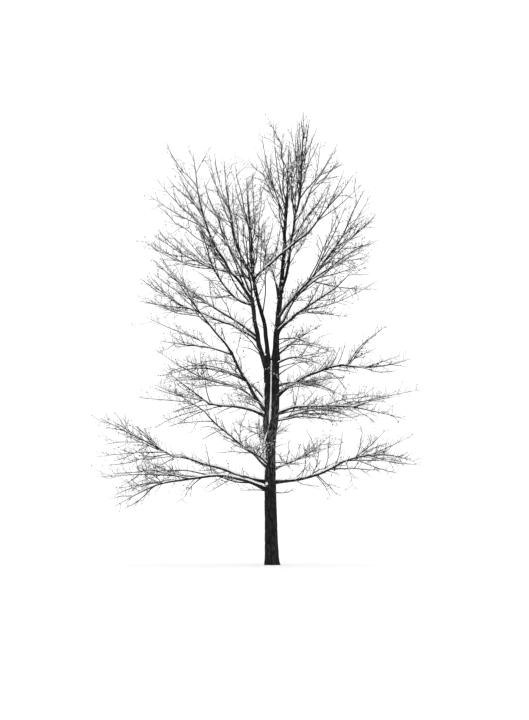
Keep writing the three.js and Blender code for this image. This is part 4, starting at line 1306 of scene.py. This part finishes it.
class WINTER_TREE_OT_leaders(bpy.types.Operator):
    """Adds the leaders above the forks"""

    bl_idname = "winter_tree.leaders"
    bl_label = "Leaders"

    def execute(self, context):
        add_limb_bark("leader_bark", LEADER_NAMES, spacing=0.025, step=0.06)
        return {"FINISHED"}


class WINTER_TREE_OT_boughs(bpy.types.Operator):
    """Adds the main boughs"""

    bl_idname = "winter_tree.boughs"
    bl_label = "Boughs"

    def execute(self, context):
        add_limb_bark("bough_bark", BOUGH_NAMES, spacing=0.024, step=0.07)
        return {"FINISHED"}


class WINTER_TREE_OT_branches(bpy.types.Operator):
    """Adds the stem and arms of every mass of twigs, and the lesser limbs"""

    bl_idname = "winter_tree.branches"
    bl_label = "Branches"

    def execute(self, context):
        stems = [plain_rings(stout(line), sides=8, step=0.16) for line in ALL_MASS_LINES]
        add_lofts("branch_wood", stems, [branch_bark()], MASS_NAMES)
        limbs = [plain_rings(stout(line), sides=7, step=0.16) for line in ALL_SIDE_LINES]
        add_lofts("side_limb_wood", limbs, [branch_bark()])
        return {"FINISHED"}


class WINTER_TREE_OT_twigs(bpy.types.Operator):
    """Grows twigs from the branches and boughs, each kind finer than the last"""

    bl_idname = "winter_tree.twigs"
    bl_label = "Twigs"

    def execute(self, context):
        seed = context.scene.winter_tree.twigs.seed
        tones = twig_barks()
        branch, long, brush, short, fine = [], [], [], [], []
        owners = dict(zip(MASS_NAMES, SMOOTH_MASSES)) | {name: [SMOOTH_LIMBS[name]] for name in CARRIERS}
        for owner, (name, lines) in enumerate((owners | {"trunk": [], "left_stem": []}).items()):
            rng = np.random.default_rng([seed, owner])
            reach, share = REACHES.get(name, 1.0), THINNED.get(name, 1.0)
            clean = 0.0 if name in MASS_NAMES else CLEAN
            limbs = as_shoots(lines + SMOOTH_SIDES[name], LIMB_PLACES)
            branch.append(side_shoots(limbs, BRANCH_RULE, rng, reach, clean=clean, grown=share))
            grown = [side_shoots(limbs, LONG_RULE, rng, reach, clean=clean, grown=share)]
            grown.append(side_shoots(branch[-1], LONG_RULE, rng, reach))
            if name in MASS_NAMES:
                known = [twig for i, line in enumerate(lines) for twig in first_twigs(line, owner, i)]
                grown.append(as_shoots(known, LONG_RULE.places))
            long.append(joined(grown))
            brush.append(side_shoots(limbs, BRUSH_RULE, rng, level=LEVEL, grown=share))
            short.append(joined([side_shoots(group[-1], SHORT_RULE, rng, reach) for group in (branch, long)]))
            fine.append(joined([side_shoots(group[-1], FINE_RULE, rng) for group in (short, brush)]))
        shoot_pieces("side_branches", branch, 5, tones)
        for name, groups in (("long", long), ("brush", brush), ("short", short), ("fine", fine)):
            shoot_pieces(name + "_twigs", groups, 3, tones)
        GROWN[:] = [branch, long, short]
        return {"FINISHED"}


class WINTER_TREE_OT_seed_heads(bpy.types.Operator):
    """Hangs dry seed heads at the tips of some of the twigs"""

    bl_idname = "winter_tree.seed_heads"
    bl_label = "Seed Heads"

    def execute(self, context):
        twigs = context.scene.winter_tree.twigs
        rng = np.random.default_rng([twigs.seed, len(MASSES)])
        _, long, short = GROWN
        heads = [seed_heads_on(group, twigs.headed, rng) for group in long]
        heads += [seed_heads_on(group, twigs.headed / RARER, rng) for group in short]
        shoot_pieces("seed_heads", heads, 5, [dry_seeds()])
        return {"FINISHED"}


class WINTER_TREE_OT_limb_snow(bpy.types.Operator):
    """Lays snow along the upper side of every limb that is level enough to hold it, and in the forks"""

    bl_idname = "winter_tree.limb_snow"
    bl_label = "Snow on Limbs"

    def execute(self, context):
        snow = context.scene.winter_tree.snow
        white = [fresh_snow()]
        limbs = [LIMBS[name] for name in LEADER_NAMES + BOUGH_NAMES]
        layers = (
            ("bough_snow", limbs, 0.11, SNOW_SECTION, snow.cover),
            ("branch_snow", ALL_MASS_LINES + ALL_SIDE_LINES, 0.17, SLIGHT_SECTION, snow.cover - HELD_LESS),
        )
        for name, lines, step, section, cover in layers:
            skins = [snow_rings(line, step, section, snow, seed, cover) for seed, line in enumerate(lines)]
            add_lofts(name, skins, white)
        bm = bmesh.new()
        for name in LEADER_NAMES + BOUGH_NAMES:
            add_fork_snow(bm, name, snow)
        add_piece("fork_snow", bm, white)
        return {"FINISHED"}


class WINTER_TREE_OT_stem_snow(bpy.types.Operator):
    """Plasters the stems' windward side with blown snow and packs the seam between them"""

    bl_idname = "winter_tree.stem_snow"
    bl_label = "Snow on Stems"

    def execute(self, context):
        snow = context.scene.winter_tree.snow
        crusts = [
            plaster_rings(LIMBS[name], snow, seed, *PLASTERED[name]) for seed, name in enumerate(PLASTERED)
        ]
        add_lofts("stem_plaster_snow", crusts, [fresh_snow()])
        seam = seam_rings(LIMBS["trunk"], LIMBS["left_stem"], *SEAMED)
        add_lofts("seam_snow", [seam], [fresh_snow()])
        return {"FINISHED"}


class WINTER_TREE_OT_twig_snow(bpy.types.Operator):
    """Sets clumps of snow along the twigs, which break their dark lines"""

    bl_idname = "winter_tree.twig_snow"
    bl_label = "Snow on Twigs"

    def execute(self, context):
        settings = context.scene.winter_tree
        clumps = []
        for kind, groups in enumerate(GROWN):
            rng = np.random.default_rng([settings.twigs.seed, kind, len(MASSES)])
            clumps += [clumps_on(group, settings.snow, rng) for group in groups]
        shoot_pieces("twig_snow", clumps, 3, [fresh_snow()])
        return {"FINISHED"}


class WINTER_TREE_OT_stage(bpy.types.Operator):
    """Adds the pale floor, the soft light and the camera"""

    bl_idname = "winter_tree.stage"
    bl_label = "Stage"

    def execute(self, context):
        scene = context.scene
        stage = scene.winter_tree.stage
        matt = {"Base Color": (*linear("#fcfcfc"), 1), "Roughness": 0.9}
        made = start_material("Pale studio floor", matt)[0]
        bm = bmesh.new()
        bmesh.ops.create_circle(bm, cap_ends=True, segments=96, radius=stage.floor)
        mesh = bpy.data.meshes.new("floor")
        bm.to_mesh(mesh)
        bm.free()
        mesh.materials.append(made)
        floor = bpy.data.objects.new("floor", mesh)
        scene.collection.objects.link(floor)
        world = bpy.data.worlds.new("White surround")
        world.use_nodes = True
        surround = world.node_tree.nodes["Background"]
        surround.inputs["Color"].default_value = (1, 1, 1, 1)
        surround.inputs["Strength"].default_value = stage.sky
        scene.world = world
        scene.view_settings.view_transform = "Standard"
        camera = bpy.data.objects.new("camera", bpy.data.cameras.new("camera"))
        camera.data.lens = stage.lens
        camera.data.clip_end = CLIP_END
        camera.location = (stage.aside, -stage.distance, stage.eye)
        camera.rotation_euler = (math.pi / 2 + stage.tilt, 0, 0)
        scene.collection.objects.link(camera)
        scene.camera = camera
        return {"FINISHED"}


class WINTER_TREE_PT_panel(bpy.types.Panel):
    """Lists the pieces of the tree in the order in which they are made"""

    bl_idname = "WINTER_TREE_PT_panel"
    bl_label = "Winter Tree"
    bl_space_type = "VIEW_3D"
    bl_region_type = "UI"
    bl_category = "Winter Tree"

    def draw(self, context):
        for step in STEPS:
            self.layout.operator(step.bl_idname)


STEPS = (
    WINTER_TREE_OT_stage,
    WINTER_TREE_OT_trunk,
    WINTER_TREE_OT_leaders,
    WINTER_TREE_OT_boughs,
    WINTER_TREE_OT_branches,
    WINTER_TREE_OT_twigs,
    WINTER_TREE_OT_seed_heads,
    WINTER_TREE_OT_limb_snow,
    WINTER_TREE_OT_stem_snow,
    WINTER_TREE_OT_twig_snow,
)
GROUPS = (BarkSettings, TwigSettings, SnowSettings, StageSettings, TreeSettings)
CLASSES = (*GROUPS, *STEPS, WINTER_TREE_PT_panel)


def register():
    for made in CLASSES:
        bpy.utils.register_class(made)
    bpy.types.Scene.winter_tree = PointerProperty(type=TreeSettings)


def unregister():
    del bpy.types.Scene.winter_tree
    for made in reversed(CLASSES):
        bpy.utils.unregister_class(made)


def main():
    """Makes the whole tree."""
    register()
    for step in STEPS:
        group, name = step.bl_idname.split(".")
        getattr(getattr(bpy.ops, group), name)()


if __name__ == "__main__":
    main()
